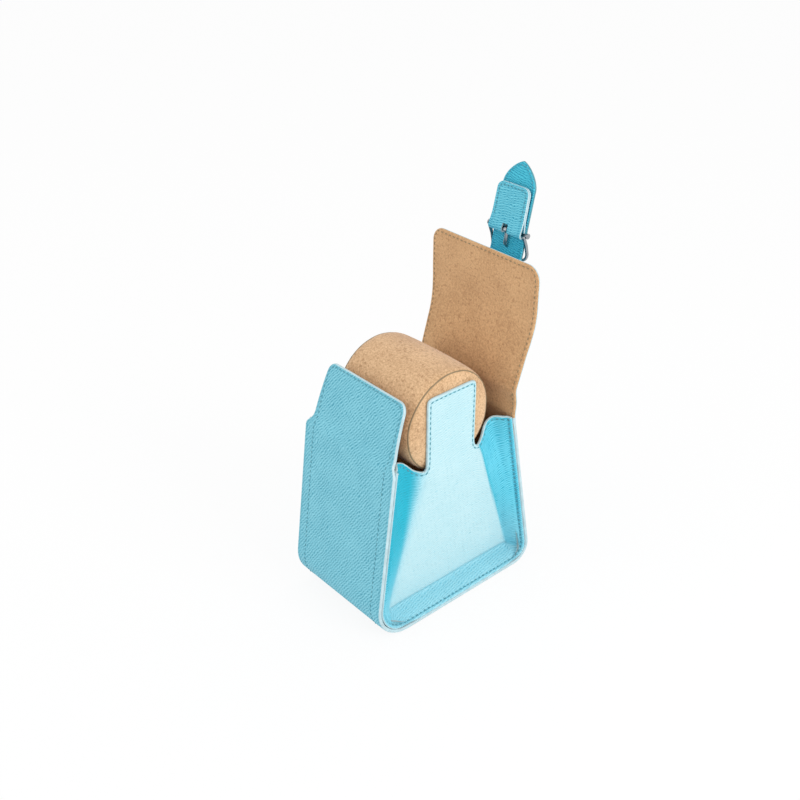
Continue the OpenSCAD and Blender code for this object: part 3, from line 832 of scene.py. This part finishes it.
# along the hems the sheet is moved by up to 0.26 mm against its normal
hemWeight = np.clip(1 - (fineInset - 3.0) / 3.0, 0, 1)
nearFloor = np.clip((floorRows - np.arange(len(fine))) / 6.0, 0, 1)
hemWeight[:, wingColumns + 2:-wingColumns - 2] *= nearFloor[:, None]
fine = fine - fineNormal * 0.26 * hemWeight[..., None]


def smoothStep(v, low, high):
    t = np.clip((v - low) / (high - low), 0, 1)
    return t * t * (3 - 2 * t)


# The side's painted light and shade: painted light on the flat middle, a mid tone on the
# flange and the back wing, painted shade in the valley, darkest at the top of the front
# wing, and a thin line of painted shade along the back crease.
sideY, sideZ = fine[..., 1], fine[..., 2]
frontHem = np.vectorize(edgeY)(np.minimum(sideZ, strip["hem"]), False)
frontLine, backLine = (np.vectorize(creaseY)(sideZ, back) for back in (False, True))
aboveCrease = smoothStep(sideZ, gusset["crease"] - 0.6, gusset["crease"] + 0.8)
onTongue = smoothStep(sideZ, wingZ - 8, wingZ + 4)
frontSide = smoothStep((sideY - frontHem) / (frontLine - frontHem), 0.42, 1.32)
frontSide = np.maximum(frontSide, onTongue * smoothStep(sideY, frontLine - 1, frontLine + 3))
backSide = 1 - smoothStep(sideY - backLine, -0.5, 0.4)
lowDown = 1 - smoothStep(sideZ, 12, 55)
middle = frontSide * backSide
paintedLightTone = middle * aboveCrease + 0.50 * (1 - aboveCrease)
# painted light low down on the wings, above the crease
paintedLightTone = paintedLightTone + 0.28 * lowDown * (1 - middle) * aboveCrease
# painted shade in the front wing's valley and in a thin line along the back crease
valleyShadeTone = (1 - smoothStep(frontSide, 0.15, 0.8)) * smoothStep(sideZ, 8, 70) * aboveCrease
backCreaseShade = 0.75 * np.exp(-(((sideY - backLine - 0.3) / 0.8) ** 2)) * smoothStep(sideZ, 20, 70)
valleyShadeTone = np.maximum(valleyShadeTone, backCreaseShade * (sideZ < wingZ + 8))
# painted shade along the bottom crease, on the inner part of the side
creaseFoldShade = np.exp(-(((sideZ - gusset["crease"]) / 0.55) ** 2))
creaseFoldShade = creaseFoldShade * np.clip((27 - fine[..., 0]) / 2, 0, 1) * 0.6
# the side's painted light and shade, kept as attributes
paintedSideTones = {"fold": creaseFoldShade, "pale": np.clip(paintedLightTone, 0, 1), "valley": np.clip(valleyShadeTone, 0, 1)}
corners = np.array([fine[0, 0], fine[0, -1]])
cornerDistance = np.linalg.norm(fine[:, :, None, :] - corners, axis=-1).min(-1)
fineSlim = np.clip((cornerDistance - 1.0) / 7.0, 0.06, 1)
upSteps = np.linalg.norm(np.diff(fine, axis=0), axis=-1)
upAlong = np.concatenate([np.zeros((1, fine.shape[1])), np.cumsum(upSteps, axis=0)])
gussetUv = np.stack([fine[..., 1], upAlong], -1)
print("gusset grid", fine.shape, "normals from", round(float(fineNormal[..., 0].min()), 2))

sideFlips = {"right": np.array([1.0, 1.0, 1.0]), "left": np.array([-1.0, 1.0, 1.0])}
hidden = np.minimum(np.minimum(topDistance, cornerDistance - 16), fineInset - 1.5)
gussetLayers = {
    "leather": ("leatherSide", "leather_gusset", {
        "values": paintedSideTones, "paint": 0.5, "plain": "first left right", "paintAt": topDistance}),
    "lining": ("suede", "suede_tan", {"paint": 0.25, "paintAt": hidden}),
}
for side, flips in sideFlips.items():
    for layer, (face, slotName, options) in gussetLayers.items():
        piece = sheetPiece(
            "gusset" + side.capitalize() + layer.capitalize(), fine * flips, fineNormal * flips,
            fineInset, gussetUv, gusset, layer == "leather", looks[face],
            flip=side == "left", slim=fineSlim, **options)
        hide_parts("gusset_" + side + "_" + layer)
        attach(piece, "case")
print("gussets made")


def cushionBody():
    # A closed cylinder with a slight crown, round shoulders and domed ends: the radius is
    # the crown's parabola, the shoulder a quarter circle, the end a shallow dome.
    r, h, k = cushion["radius"], cushion["half"], cushion["shoulder"]
    t = np.linspace(-1, 1, 61)
    side = np.stack([t * (h - k), r - cushion["crown"] * t**2], -1)
    edge = r - cushion["crown"] - k
    a = np.linspace(90, 4, 9)[1:]
    right = np.stack([h - k + k * np.cos(np.radians(a)), edge + k * np.sin(np.radians(a))], -1)
    q = np.linspace(1, 0, 22)[1:]
    dome = np.stack([h + 0.45 * (1 - q**2), edge * q], -1)
    half = np.concatenate([right, dome])
    profile = np.concatenate([half[::-1] * [-1, 1], side, half])
    turn = np.linspace(0, 2 * np.pi, 145)[:-1]
    n, m = len(profile), len(turn)
    x = np.repeat(profile[1:-1, 0], m)
    rr = np.repeat(profile[1:-1, 1], m)
    a = np.tile(turn, n - 2)
    verts = np.stack([x, rr * np.cos(a), rr * np.sin(a)], -1)
    verts = np.concatenate([verts, [[profile[0, 0], 0, 0], [profile[-1, 0], 0, 0]]])
    index = np.arange((n - 2) * m).reshape(n - 2, m)
    nxt = np.roll(index, -1, axis=1)
    quads = np.stack([index[:-1], nxt[:-1], nxt[1:], index[1:]], -1).reshape(-1, 4)
    start, end = len(verts) - 2, len(verts) - 1
    caps = [(start, nxt[0, i], index[0, i]) for i in range(m)]
    caps += [(end, index[-1, i], nxt[-1, i]) for i in range(m)]
    return verts + np.array([0, cushion["y"], cushion["z"]]), [tuple(f) for f in quads.tolist()] + caps


def inflate(piece):
    # Remesh, let cloth with air pressure swell it for twenty frames, and limit how
    # far each point has moved.
    scene = bpy.context.scene
    work = piece.copy()
    work.data = piece.data.copy()
    scene.collection.objects.link(work)
    bpy.context.view_layer.objects.active = work
    remesh = work.modifiers.new("remesh", "REMESH")
    remesh.mode = "VOXEL"
    remesh.voxel_size = cushion["voxel"]
    with bpy.context.temp_override(object=work, active_object=work, selected_objects=[work]):
        bpy.ops.object.modifier_apply(modifier="remesh")
    count = len(work.data.vertices)
    before = np.empty(count * 3)
    work.data.vertices.foreach_get("co", before)
    cloth = work.modifiers.new("cloth", "CLOTH")
    cloth.settings.use_pressure = True
    cloth.settings.uniform_pressure_force = cushion["pressure"]
    cloth.settings.effector_weights.gravity = 0.0
    cloth.settings.quality = 6
    cloth.point_cache.frame_start = 1
    cloth.point_cache.frame_end = 20
    for f in range(1, 21):
        scene.frame_set(f)
    shaped = work.evaluated_get(bpy.context.evaluated_depsgraph_get())
    after = np.empty(count * 3)
    shaped.data.vertices.foreach_get("co", after)
    scene.frame_set(1)
    work.modifiers.remove(cloth)
    move = (after - before).reshape(-1, 3)
    size = np.linalg.norm(move, axis=1, keepdims=True)
    move *= np.minimum(1, cushion["swell"] / np.maximum(size, 1e-9))
    work.data.vertices.foreach_set("co", (before.reshape(-1, 3) + move).ravel())
    work.data.update()
    bpy.data.objects.remove(piece)
    print("cushion swelled by up to", round(float(np.linalg.norm(move, axis=1).max()) * 1000, 2), "mm")
    return work


bodyVerts, bodyFaces = cushionBody()
pad = newObject("cushionBody", bodyVerts * mm, bodyFaces, [looks["suedeCushion"]])
pad = inflate(pad)
pad.name = "cushionBody"
smoothPad = pad.modifiers.new("smooth", "SMOOTH")
smoothPad.factor = 0.5
smoothPad.iterations = 6
subdivided = pad.modifiers.new("subdivide", "SUBSURF")
subdivided.levels = subdivided.render_levels = 1
pad.data.polygons.foreach_set("use_smooth", np.full(len(pad.data.polygons), True))
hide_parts("cushion_cover", "cushion_end_right", "cushion_end_left")
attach(pad, "cushion")


def rimOf(piece, sign):
    # where the swelled cushion's corner runs: for each angle about its axis, the point
    # that lies furthest out along the axis and the radius together, then a running mean
    shaped = piece.evaluated_get(bpy.context.evaluated_depsgraph_get())
    mesh = shaped.to_mesh()
    points = np.empty(len(mesh.vertices) * 3)
    mesh.vertices.foreach_get("co", points)
    shaped.to_mesh_clear()
    points = points.reshape(-1, 3) / mm
    y, z = points[:, 1] - cushion["y"], points[:, 2] - cushion["z"]
    along, out, turned = points[:, 0] * sign, np.hypot(y, z), np.arctan2(z, y)
    found = []
    for angle in np.linspace(0, 2 * np.pi, 161)[:-1]:
        near = (np.cos(turned - angle) > math.cos(0.07)) & (along > 0)
        k = np.argmax((along + out)[near])
        found.append((along[near][k], out[near][k]))
    found = np.array(found)
    return sum(np.roll(found, k, axis=0) for k in range(-4, 5)) / 9


def ringTube(name, radius, x, thick, material):
    # a thin ring about the cushion's axis: a small circle carried round a large one
    a = np.linspace(0, 2 * np.pi, 161)[:-1]
    radius, x = radius[:, None], x[:, None]
    b = np.linspace(0, 2 * np.pi, 9)[:-1]
    aa, bb = np.meshgrid(a, b, indexing="ij")
    r = radius + thick * np.cos(bb)
    y, z = cushion["y"] + r * np.cos(aa), cushion["z"] + r * np.sin(aa)
    verts = np.stack([x + thick * np.sin(bb), y, z], -1).reshape(-1, 3) * mm
    index = np.arange(160 * 8).reshape(160, 8)
    nxt, side = np.roll(index, -1, axis=0), np.roll(index, -1, axis=1)
    both = np.roll(nxt, -1, axis=1)
    faces = np.stack([index, side, both, nxt], -1).reshape(-1, 4)
    return newObject(name, verts, faces, [material])


for side, sign in (("Right", 1), ("Left", -1)):
    corner = rimOf(pad, sign) - 0.12
    seam = ringTube("cushionSeam" + side, corner[:, 1], corner[:, 0] * sign, 0.42, looks["threadTan"])
    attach(seam, "cushion")
print("cushion made")


# The strap in its own frame: run goes up the open strap, depth away from its inner face.
strap = {
    "drop": 26.0,
    "lean": 12.4,
    "out": 9.75,
    "start": 50.0,
    "bend": 15.0,
    "foot": -6.3,
    "joint": 16.0,
    "rootWidth": 28.0,
    "width": 23.0,
    "neck": 14.4,
    "leather": 1.2,
    "total": 1.9,
    "bar": 33.2,
    "tip": 69.8,
    "point": 13.0,
    "gap": 0.3,
}

# The buckle and its tab, in the strap's frame.
buckle = {
    "barRadius": 1.0,
    "barDepth": -2.5,
    "crossDepth": 3.4,
    "crossRun": 14.0,
    "crossRadius": 3.0,
    "armInside": 11.9,
    "armThick": 1.5,
    "tabWidth": 23.0,
    "tabLength": 24.4,
    "tabCorner": 4.0,
    "slotHalf": 2.1,
    "slotTop": 3.4,
    "loop": 1.1,
}

leanSine, leanCosine = math.sin(rad(strap["lean"])), math.cos(rad(strap["lean"]))
flapFace = track.at(np.array([track.length]))[0][0]
strapRoot = np.array([0.0, flapFace[0] + strap["gap"], flap["top"] - strap["drop"]])
strapFoot = strapRoot + strap["out"] * np.array([0.0, leanCosine, -leanSine])


def strapTurn(x, depth, run):
    # a direction in the strap's frame as a direction in the world
    x = np.broadcast_to(x, np.shape(run))
    return np.stack([x, depth * leanCosine + run * leanSine, run * leanCosine - depth * leanSine], -1)


def strapWorld(x, depth, run):
    # a place in the strap's frame as a place in the world, in millimetres
    return strapTurn(x, depth, run) + strapFoot


def strapHalf(run):
    # half width of the strap: wide at its root, narrow in the buckle, pointed at its tip
    r, w, tip, neck = strap["rootWidth"] / 2, strap["width"] / 2, strap["tip"], strap["neck"]
    base = np.interp(run, [-10, 0, neck, strap["bar"] - neck], [r, r, r - 0.3, w])
    into = np.clip((run - (tip - strap["point"])) / strap["point"], 0, 1)
    return base * np.clip(1 - into**1.7, 0, 1) ** 0.75


def strapLine():
    # The strap's outer face in depth and run: flat on the flap down to its foot, then a
    # cubic curve that carries it outwards, then straight with a slight swell.
    depth, out, run = strap["total"], strap["out"], strap["bend"]
    pts = []
    y = depth - strap["gap"] * 0.8
    for z in np.linspace(-6.8, -1.6, 6):
        pts.append((y * leanCosine - z * leanSine - out, y * leanSine + z * leanCosine))
    steep = rad(strap["start"]) - rad(strap["lean"])
    a = np.array([-out, 0.0])
    b = a + np.array([math.sin(steep), math.cos(steep)]) * run * 0.53
    c, d = np.array([0.0, run * 0.67]), np.array([0.0, run])
    for u in np.linspace(0.12, 1, 16):
        v = 1 - u
        q = v**3 * a + 3 * u * v * v * b + 3 * u * u * v * c + u**3 * d
        g = v * v * (b - a) + 2 * u * v * (c - b) + u * u * (d - c)
        q = q + np.array([g[1], -g[0]]) * depth / np.linalg.norm(g)
        pts.append((q[0], q[1]))
    for run in np.linspace(strap["bend"] + 1.5, strap["tip"], 34):
        pts.append((depth + 0.35 * math.exp(-(((run - 24) / 6) ** 2)), run))
    return Track(pts, 1.2)


outerLine = strapLine()


def strapSheet(name, first, last, outer, faceMaterial, cuts):
    # one layer of the strap between two runs, round at its sides and at its free end
    s = np.linspace(outerLine.where(first), outerLine.where(last), max(4, int((last - first) / 0.9)))
    free = last > strap["tip"] - 0.2
    if free:
        s = np.unique(np.r_[s[:-3], s[-1] - edgeSteps])
    p, n = outerLine.at(s)
    w = np.maximum(strapHalf(p[:, 1]), 0.35)
    x = crossColumns(w, 14)
    place = strapWorld(x, spread(p[:, 0], x.shape), spread(p[:, 1], x.shape))
    normal = strapTurn(np.zeros_like(x), spread(n[:, 0], x.shape), spread(n[:, 1], x.shape))
    inset = sideInset(w, x, s)
    if free:
        inset = np.minimum(inset, (s[-1] - s)[:, None])
    if first < 0:
        inset = np.minimum(inset, (s - s[0])[:, None])
    return sheetPiece(
        name, place, normal, inset, np.stack([x, spread(s, x.shape)], -1), strap, outer,
        faceMaterial, flip=True, cuts=cuts, paint=0.3, rim="edgeTeal")


def strapSpot(run, depth=1.0):
    return tuple((strapWorld(0.0, depth, float(run)) * mm).tolist())


strapBend = ("flap_top", "strap", strapSpot(-2, 1 - strap["out"]), strapSpot(7, -3))
tipBend = ("strap", "tab", strapSpot(strap["bar"] - 2.5), strapSpot(strap["bar"] + 4.5))
for name, first, last, outer, nodes, bend in (
    ("strapLeather", strap["foot"], strap["joint"], True, ("strap_foot", "strap_leather"), strapBend),
    ("strapLining", strap["foot"], strap["joint"], False, ("strap_lining",), strapBend),
    ("strapEndLeather", strap["joint"], strap["tip"], True, ("strap_end_leather",), tipBend),
    ("strapEndLining", strap["joint"], strap["tip"], False, ("strap_end_lining",), tipBend),
):
    # the inner layers take the darker copy of the strap leather, which is painted shade
    face = looks["leatherStrap" if outer else "leatherStrapShaded"]
    piece = strapSheet(name, first, last, outer, face, "last" if first < 0 else "first")
    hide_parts(*nodes)
    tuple(bend[2])
    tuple(bend[3])
    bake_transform(piece)


def tabSheet():
    # The tab is one strip folded round the bar: down its inner leaf, half a turn round the
    # bar and up its outer leaf; a notch in the fold lets the prong through.
    bar, deep = strap["bar"], buckle["barDepth"]
    r = buckle["barRadius"] + 0.1 + buckle["loop"] / 2
    top = bar + buckle["tabLength"]
    leaf = buckle["loop"] / 2 + 0.02
    down = [(deep - leaf, run) for run in np.linspace(top, bar + 7, 18)]
    turns = [rad(t) for t in np.linspace(180, 360, 15)]
    turn = [(deep + r * math.cos(t), bar + r * math.sin(t)) for t in turns]
    up = [(deep + leaf, run) for run in np.linspace(bar + 7, top, 18)]
    line = Track(down + turn + up, 0.6)
    even = np.linspace(edgeSteps[-1], line.length - edgeSteps[-1], 110)
    s = np.unique(np.r_[edgeSteps, even, line.length - edgeSteps])
    p = line.at(s)[0]
    narrow = 0.5 * np.clip((p[:, 1] - bar) / 20, 0, 1)
    w = buckle["tabWidth"] / 2 - narrow - roundCorner(p[:, 1], top, buckle["tabCorner"])
    x = np.linspace(-1, 1, 47)[None, :] * w[:, None]
    verts = strapWorld(x, spread(p[:, 0], x.shape), spread(p[:, 1], x.shape)).reshape(-1, 3)
    index = np.arange(x.size).reshape(x.shape)
    quads = np.stack([index[:-1, :-1], index[:-1, 1:], index[1:, 1:], index[1:, :-1]], -1)
    mx = (x[:-1, :-1] + x[1:, 1:]) / 2
    my = spread((p[:-1, 1] + p[1:, 1]) / 2, mx.shape)
    keep = ~((np.abs(mx) < buckle["slotHalf"]) & (my < bar + buckle["slotTop"]))
    faces = quads[keep]
    used = np.unique(faces)
    remap = np.full(x.size, -1)
    remap[used] = np.arange(len(used))
    inset = np.minimum(w[:, None] - np.abs(x), np.minimum(s, line.length - s)[:, None]).reshape(-1)
    uv = np.stack([x, spread(s, x.shape)], -1).reshape(-1, 2) * mm
    piece = newObject(
        "buckleTab", verts[used] * mm, remap[faces], [looks["leatherStrap"], looks["edge"]],
        None, uv[used], {"edgeDist": inset[used]})
    solid = piece.modifiers.new("thickness", "SOLIDIFY")
    solid.thickness = buckle["loop"] * 0.94 * mm
    solid.offset = 0
    solid.material_offset_rim = 1
    bevel = piece.modifiers.new("rim", "BEVEL")
    bevel.width = 0.00022
    bevel.segments = 2
    bevel.limit_method = "ANGLE"
    return piece


tab = tabSheet()
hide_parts("buckle_tab")
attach(tab, "tab")


def tubeAlong(name, path, size):
    # An oval steel section, size wide and thick, carried along a smooth line that is given
    # in the strap's frame, with round ends.
    p = np.array([strapWorld(*point) for point in path])
    run = runOf(p)
    n = max(24, int(run[-1] / 0.35))
    s = np.linspace(0, run[-1], n)
    q = atRun(p, run, s)
    for repeat in range(4):
        q[1:-1] = (q[:-2] + 2 * q[1:-1] + q[2:]) / 4
    d = unit(np.gradient(q, axis=0))
    ref = strapTurn(0.0, 1.0, 0.0)
    up = unit(ref - d * (d @ ref)[:, None])
    across = np.cross(d, up)
    end = np.clip(np.minimum(s, run[-1] - s) / 0.7, 0, 1)
    fat = np.sqrt(np.clip(1 - (1 - end) ** 2, 0.02, 1))[:, None, None]
    a = np.linspace(0, 2 * np.pi, 17)[:-1][None, :, None]
    ring = across[:, None] * (np.cos(a) * (size[0] * fat)) + up[:, None] * (np.sin(a) * (size[1] * fat))
    index = np.arange(n * 16).reshape(n, 16)
    nxt = np.roll(index, -1, axis=1)
    faces = np.stack([index[:-1], nxt[:-1], nxt[1:], index[1:]], -1).reshape(-1, 4).tolist()
    faces += [index[0][::-1].tolist(), index[-1].tolist()]
    return newObject(name, (q[:, None, :] + ring).reshape(-1, 3) * mm, faces, [looks["steel"]])


def frameLine():
    # the frame from one bar end down its arm, across and up the other arm
    x = buckle["armInside"] + buckle["armThick"] / 2
    bar, cross, r = strap["bar"], buckle["crossDepth"], buckle["crossRadius"]
    low = bar - buckle["crossRun"]
    pts = [(x, buckle["barDepth"], bar), (x, 1.2, bar - 5.5), (x, cross - 0.2, low + 4)]
    for a in np.linspace(0, 90, 7):
        pts.append((x - r + r * math.cos(rad(a)), cross, low + r - r * math.sin(rad(a))))
    return pts + [(-px, d, s) for px, d, s in pts[::-1]]


ring = tubeAlong("buckleFrame", frameLine(), (0.85, 1.0))
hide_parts("buckle_frame")
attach(ring, "strap")

# the prong's line starts beside the bar and passes over the cross bar
bar, deep = strap["bar"], buckle["barDepth"]
prongPath = [
    (0, deep + 0.9, bar - 1.0),
    (0, deep + 0.9, bar - 7.6),
    (0, 1.2, bar - 9.9),
    (0, 5.2, bar - 12.6),
    (0, 5.3, bar - 16.2),
]
prong = tubeAlong("bucklePin", prongPath, (1.15, 0.5))
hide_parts("buckle_prong")
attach(prong, "prong")
eyeTurn = np.linspace(-1.2, 2 * np.pi - 1.6, 30)
eyePath = [(0, deep + 1.5 * math.cos(a), bar + 1.5 * math.sin(a)) for a in eyeTurn]
eye = tubeAlong("buckleEye", eyePath, (1.15, 0.42))
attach(eye, "prong")
for node, look in (("buckle_bar", "steel"), ("cushion_core", "suedeCushion")):
    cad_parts[node].data.materials.clear()
    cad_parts[node].data.materials.append(looks[look])
print("strap and buckle made")


def stitches(name, spots, ways, ups, material, long=2.1, thick=0.34):
    # Each stitch is a small bead: a rounded bar along the seam, sunk at both ends.
    n = len(spots)
    t = np.linspace(-1, 1, 7)[None, :, None, None]
    a = np.linspace(0, 2 * np.pi, 7)[:-1][None, None, :, None]
    fat = np.sqrt(np.clip(1 - np.abs(t) ** 3, 0.03, 1)) * thick
    sides = np.cross(ways, ups)
    spots, ways, ups, sides = (v[:, None, None, :] for v in (spots, ways, ups, sides))
    ring = sides * (np.cos(a) * fat) + ups * (np.sin(a) * fat * 0.8 - 0.22 * t**2)
    verts = spots + ways * (t * long / 2) + ring
    index = np.arange(n * 42).reshape(n, 7, 6)
    nxt = np.roll(index, -1, axis=2)
    quads = np.stack([index[:, :-1], nxt[:, :-1], nxt[:, 1:], index[:, 1:]], -1).reshape(-1, 4).tolist()
    ends = index[:, 0, ::-1].tolist() + index[:, -1].tolist()
    return newObject(name, verts.reshape(-1, 3) * mm, [tuple(f) for f in quads + ends], [material])


def evenly(points, pitch):
    # splits a polyline into stitches: their middles and directions
    p = np.asarray(points, float)
    run = runOf(p)
    n = max(1, int(run[-1] / pitch))
    mids = (np.arange(n) + 0.5) * run[-1] / n
    ahead = atRun(p, run, np.minimum(mids + 0.4, run[-1])) - atRun(p, run, np.maximum(mids - 0.4, 0))
    return atRun(p, run, mids), ahead


def plainWorld(x, y, z):
    return np.stack([x, y, z], -1)


def seamRows(name, line, rows, pitch, shift, face, place, turned, *more):
    # Stitches along rows of places (x, length) on a sheet whose profile is line; place and
    # turned take x and the profile's two coordinates to the world.
    spots, ways, ups = [], [], []
    for row in rows:
        mid, ahead = evenly(row, pitch)
        p, n = line.at(mid[:, 1])
        down = (line.at(mid[:, 1] + 0.2)[0] - p) / 0.2
        spots.append(place(mid[:, 0], *(p + n * shift).T))
        ways.append(unit(turned(ahead[:, 0], *(down * ahead[:, 1:]).T)))
        ups.append(turned(np.zeros(len(mid)), *n.T) * face)
    return stitches(name, np.concatenate(spots), np.concatenate(ways), np.concatenate(ups), *more)


def bandStitches(name, first, last, face, material):
    # rows along both edges of the long sheet, and round its top where that is free
    start, finish = first < 0.5, last > track.length - 0.5
    a = max(first, seamInset) if start else first
    b = min(last, track.length - seamInset) if finish else last
    s = np.arange(a, b, 0.25)
    w = softWidth(s) - seamInset
    if start:
        k = strip["tongueCorner"] - 1.0
        near = np.clip(1 - (s - a) / k, 0, 1)
        w = np.minimum(w, softWidth(np.full_like(s, a + k + 2)) - seamInset) - k * 0.55 * near**2.2
    if finish:
        w = np.minimum(w, flap["topWidth"] / 2 - seamInset)
    right = np.stack([w, s], -1)
    left = right * [-1, 1]
    rows = [right, left]
    if start:
        rows = [np.concatenate([left[::-1], right])]
    elif finish:
        rows = [np.concatenate([right, left[::-1]])]
    shift = 0.06 if face > 0 else -(strip["total"] + 0.06)
    return seamRows(name, track, rows, 3.0, shift, face, plainWorld, plainWorld, material)


for band, (first, last) in bands.items():
    for face, material, slotName in ((1, "thread", "leather_turquoise"), (-1, "threadTan", "suede_tan")):
        name, end = band + ("Thread" if face > 0 else "ThreadInner"), last
        if band == "shell" and face < 0:
            name, end = "tongueThreadInner", track.where(108.0, 0, stripLength * 0.3)
        row = bandStitches(name, first, end, face, looks[material])
        carry(row, band)


def nearest(points):
    # grid point next to each point of a line in Y and Z, with its normal
    flat = fine.reshape(-1, 3)
    normals = fineNormal.reshape(-1, 3)
    picked = np.array([np.argmin(((flat - q) ** 2).sum(1)) for q in points])
    return flat[picked], normals[picked]


def insetLine(line, inside, amount):
    # a 3D line moved sideways by amount towards a point inside, in the sheet's own surface
    d = unit(np.gradient(line, axis=0))
    spot, n = nearest(line)
    side = np.cross(n, d)
    flip = np.sign(((inside - line) * side).sum(1))[:, None]
    return line + side * flip * amount


def resample(line, step):
    run = runOf(line)
    return atRun(line, run, np.arange(0, run[-1], step))


topLine = resample(fine[-1], 0.5)
hemLine = resample(np.concatenate([fine[::-1, 0], fine[0], fine[:, -1]]), 0.5)
centre = np.array([26.0, -3.0, 60.0])
for tag, line in (("Top", topLine), ("Hem", hemLine)):
    moved = insetLine(line, centre, seamInset)
    mid, ahead = evenly(moved, 3.0)
    spot, n = nearest(mid)
    ahead -= n * (ahead * n).sum(1)[:, None]
    ahead = unit(ahead)
    base = mid - n * ((mid - spot) * n).sum(1)[:, None] + n * 0.05
    for side, flips in sideFlips.items():
        name = "gusset" + tag + "Thread" + side.capitalize()
        row = stitches(name, base * flips, ahead * flips, n * flips, looks["thread"])
        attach(row, "case")


def strapStitches(name, first, last, shift, face, closed):
    # rows along both edges of the strap, joined round its point where it is closed
    s = np.arange(outerLine.where(first), outerLine.where(last), 0.2)
    w = np.maximum(strapHalf(outerLine.at(s)[0][:, 1]) - 1.5, 0.0)
    right = np.stack([w, s], -1)
    left = right * [-1, 1]
    rows = [np.concatenate([right, left[::-1]])] if closed else [right, left]
    thread = (looks["thread"], 1.7, 0.28)
    return seamRows(name, outerLine, rows, 2.4, shift, face, strapWorld, strapTurn, *thread)


for name, first, last, shift, face, closed, bend in (
    ("strapThread", -5.0, strap["joint"], 0.05, 1, False, strapBend),
    ("strapEndThread", strap["joint"], strap["tip"] - 2.0, 0.05, 1, True, tipBend),
    ("strapEndThreadInner", bar + 24, strap["tip"] - 2.0, -strap["total"] - 0.05, -1, True, tipBend),
):
    row = strapStitches(name, first, last, shift, face, closed)
    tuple(bend[2])
    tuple(bend[3])
    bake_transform(row)

tabTop = bar + buckle["tabLength"] - 1.6
tabSide = buckle["tabWidth"] / 2 - 2.0
corner = 2.8
tabLine = [(tabSide, bar + 3.5)]
for a in np.linspace(0, math.pi / 2, 7):
    tabLine.append((tabSide - corner + corner * math.cos(a), tabTop - corner + corner * math.sin(a)))
tabLine = np.array(tabLine + [(-x, r) for x, r in tabLine[::-1]])
mid, ahead = evenly(tabLine, 2.4)
spots = strapWorld(mid[:, 0], deep - buckle["loop"] - 0.08, mid[:, 1])
ways = unit(strapTurn(ahead[:, 0], 0.0, ahead[:, 1]))
ups = -strapTurn(np.zeros(len(mid)), 1.0, np.zeros(len(mid)))
row = stitches("tabThread", spots, ways, ups, looks["thread"], 1.7, 0.28)
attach(row, "tab")
print("stitches made")


# The room: a plain pale floor, white behind it, soft lamps from the right and the front.
room = {
    "floorSize": 6.0,
    "floorGlow": 0.90,
    "worldLight": 0.85,
    "keyEnergy": 4.5,
    "fillEnergy": 3.0,
}
floorVerts = np.array([[-1, -1, 0], [1, -1, 0], [1, 1, 0], [-1, 1, 0]]) * room["floorSize"] / 2
floorMesh = newObject("floor", floorVerts + np.array([0, 0, -0.0003]), [(0, 1, 2, 3)], [], smooth=False)
floorLook = Look("paleFloor")
floorLook.finish({"Base Color": (0.9, 0.9, 0.9), "Roughness": 0.9, "Specular IOR Level": 0.1})
glow = floorLook.add("ShaderNodeEmission", {}, {"Color": (1.0, 1.0, 1.0), "Strength": 1.0})
seen = floorLook.add("ShaderNodeLightPath") * room["floorGlow"]
plain = Wire(floorLook, floorLook.shader.outputs[0])
floorLook.put(floorLook.out.inputs[0], floorLook.add("ShaderNodeMixShader", {}, {0: seen, 1: plain, 2: glow}))
floorMesh.data.materials.append(floorLook.material)

# the world is full white to the camera and in reflections, and a little dimmer as a light
world = bpy.data.worlds.new("room")
bpy.context.scene.world = world
world.use_nodes = True
sky = Nodes(world.node_tree)
kinds = ("Is Camera Ray", "Is Glossy Ray", "Is Transmission Ray")
rays = [sky.add("ShaderNodeLightPath", output=kind) for kind in kinds]
seen = rays[0].calc("MAXIMUM", rays[1]).calc("MAXIMUM", rays[2])
level = sky.add("ShaderNodeMapRange", {}, {"Value": seen, "To Min": room["worldLight"], "To Max": 1.0})
white = sky.add("ShaderNodeBackground", {}, {"Color": (1.0, 1.0, 1.0), "Strength": level})
sky.put(sky.tree.nodes.new("ShaderNodeOutputWorld").inputs[0], white)


def aimed(piece, spot, target):
    # stands a lamp or the camera at a spot and points it at its target
    piece.location = spot
    piece.rotation_euler = (Vector(target) - Vector(spot)).to_track_quat("-Z", "Y").to_euler()
    bpy.context.scene.collection.objects.link(piece)


def lamp(name, spot, target, size, energy):
    data = bpy.data.lights.new(name, "AREA")
    data.shape = "SQUARE"
    data.size = size
    data.energy = energy
    aimed(bpy.data.objects.new(name, data), spot, target)


lamp("keyLamp", (0.95, 0.15, 0.62), (0, 0, 0.08), 0.5, room["keyEnergy"])
lamp("fillLamp", (-0.25, -1.1, 0.75), (0, 0, 0.09), 0.7, room["fillEnergy"])

view = {"place": (0.3745, -0.3386, 0.4190), "target": (-0.00557, -0.00638, 0.11561), "lens": 49.5}
camera = bpy.data.cameras.new("camera")
camera.lens = view["lens"]
camera.sensor_width = 36.0
camera.clip_start = 0.01
camera.clip_end = 20.0
cameraPiece = bpy.data.objects.new("camera", camera)
aimed(cameraPiece, view["place"], view["target"])
bpy.context.scene.camera = cameraPiece
bpy.context.scene.view_settings.view_transform = "Standard"
print("room made")
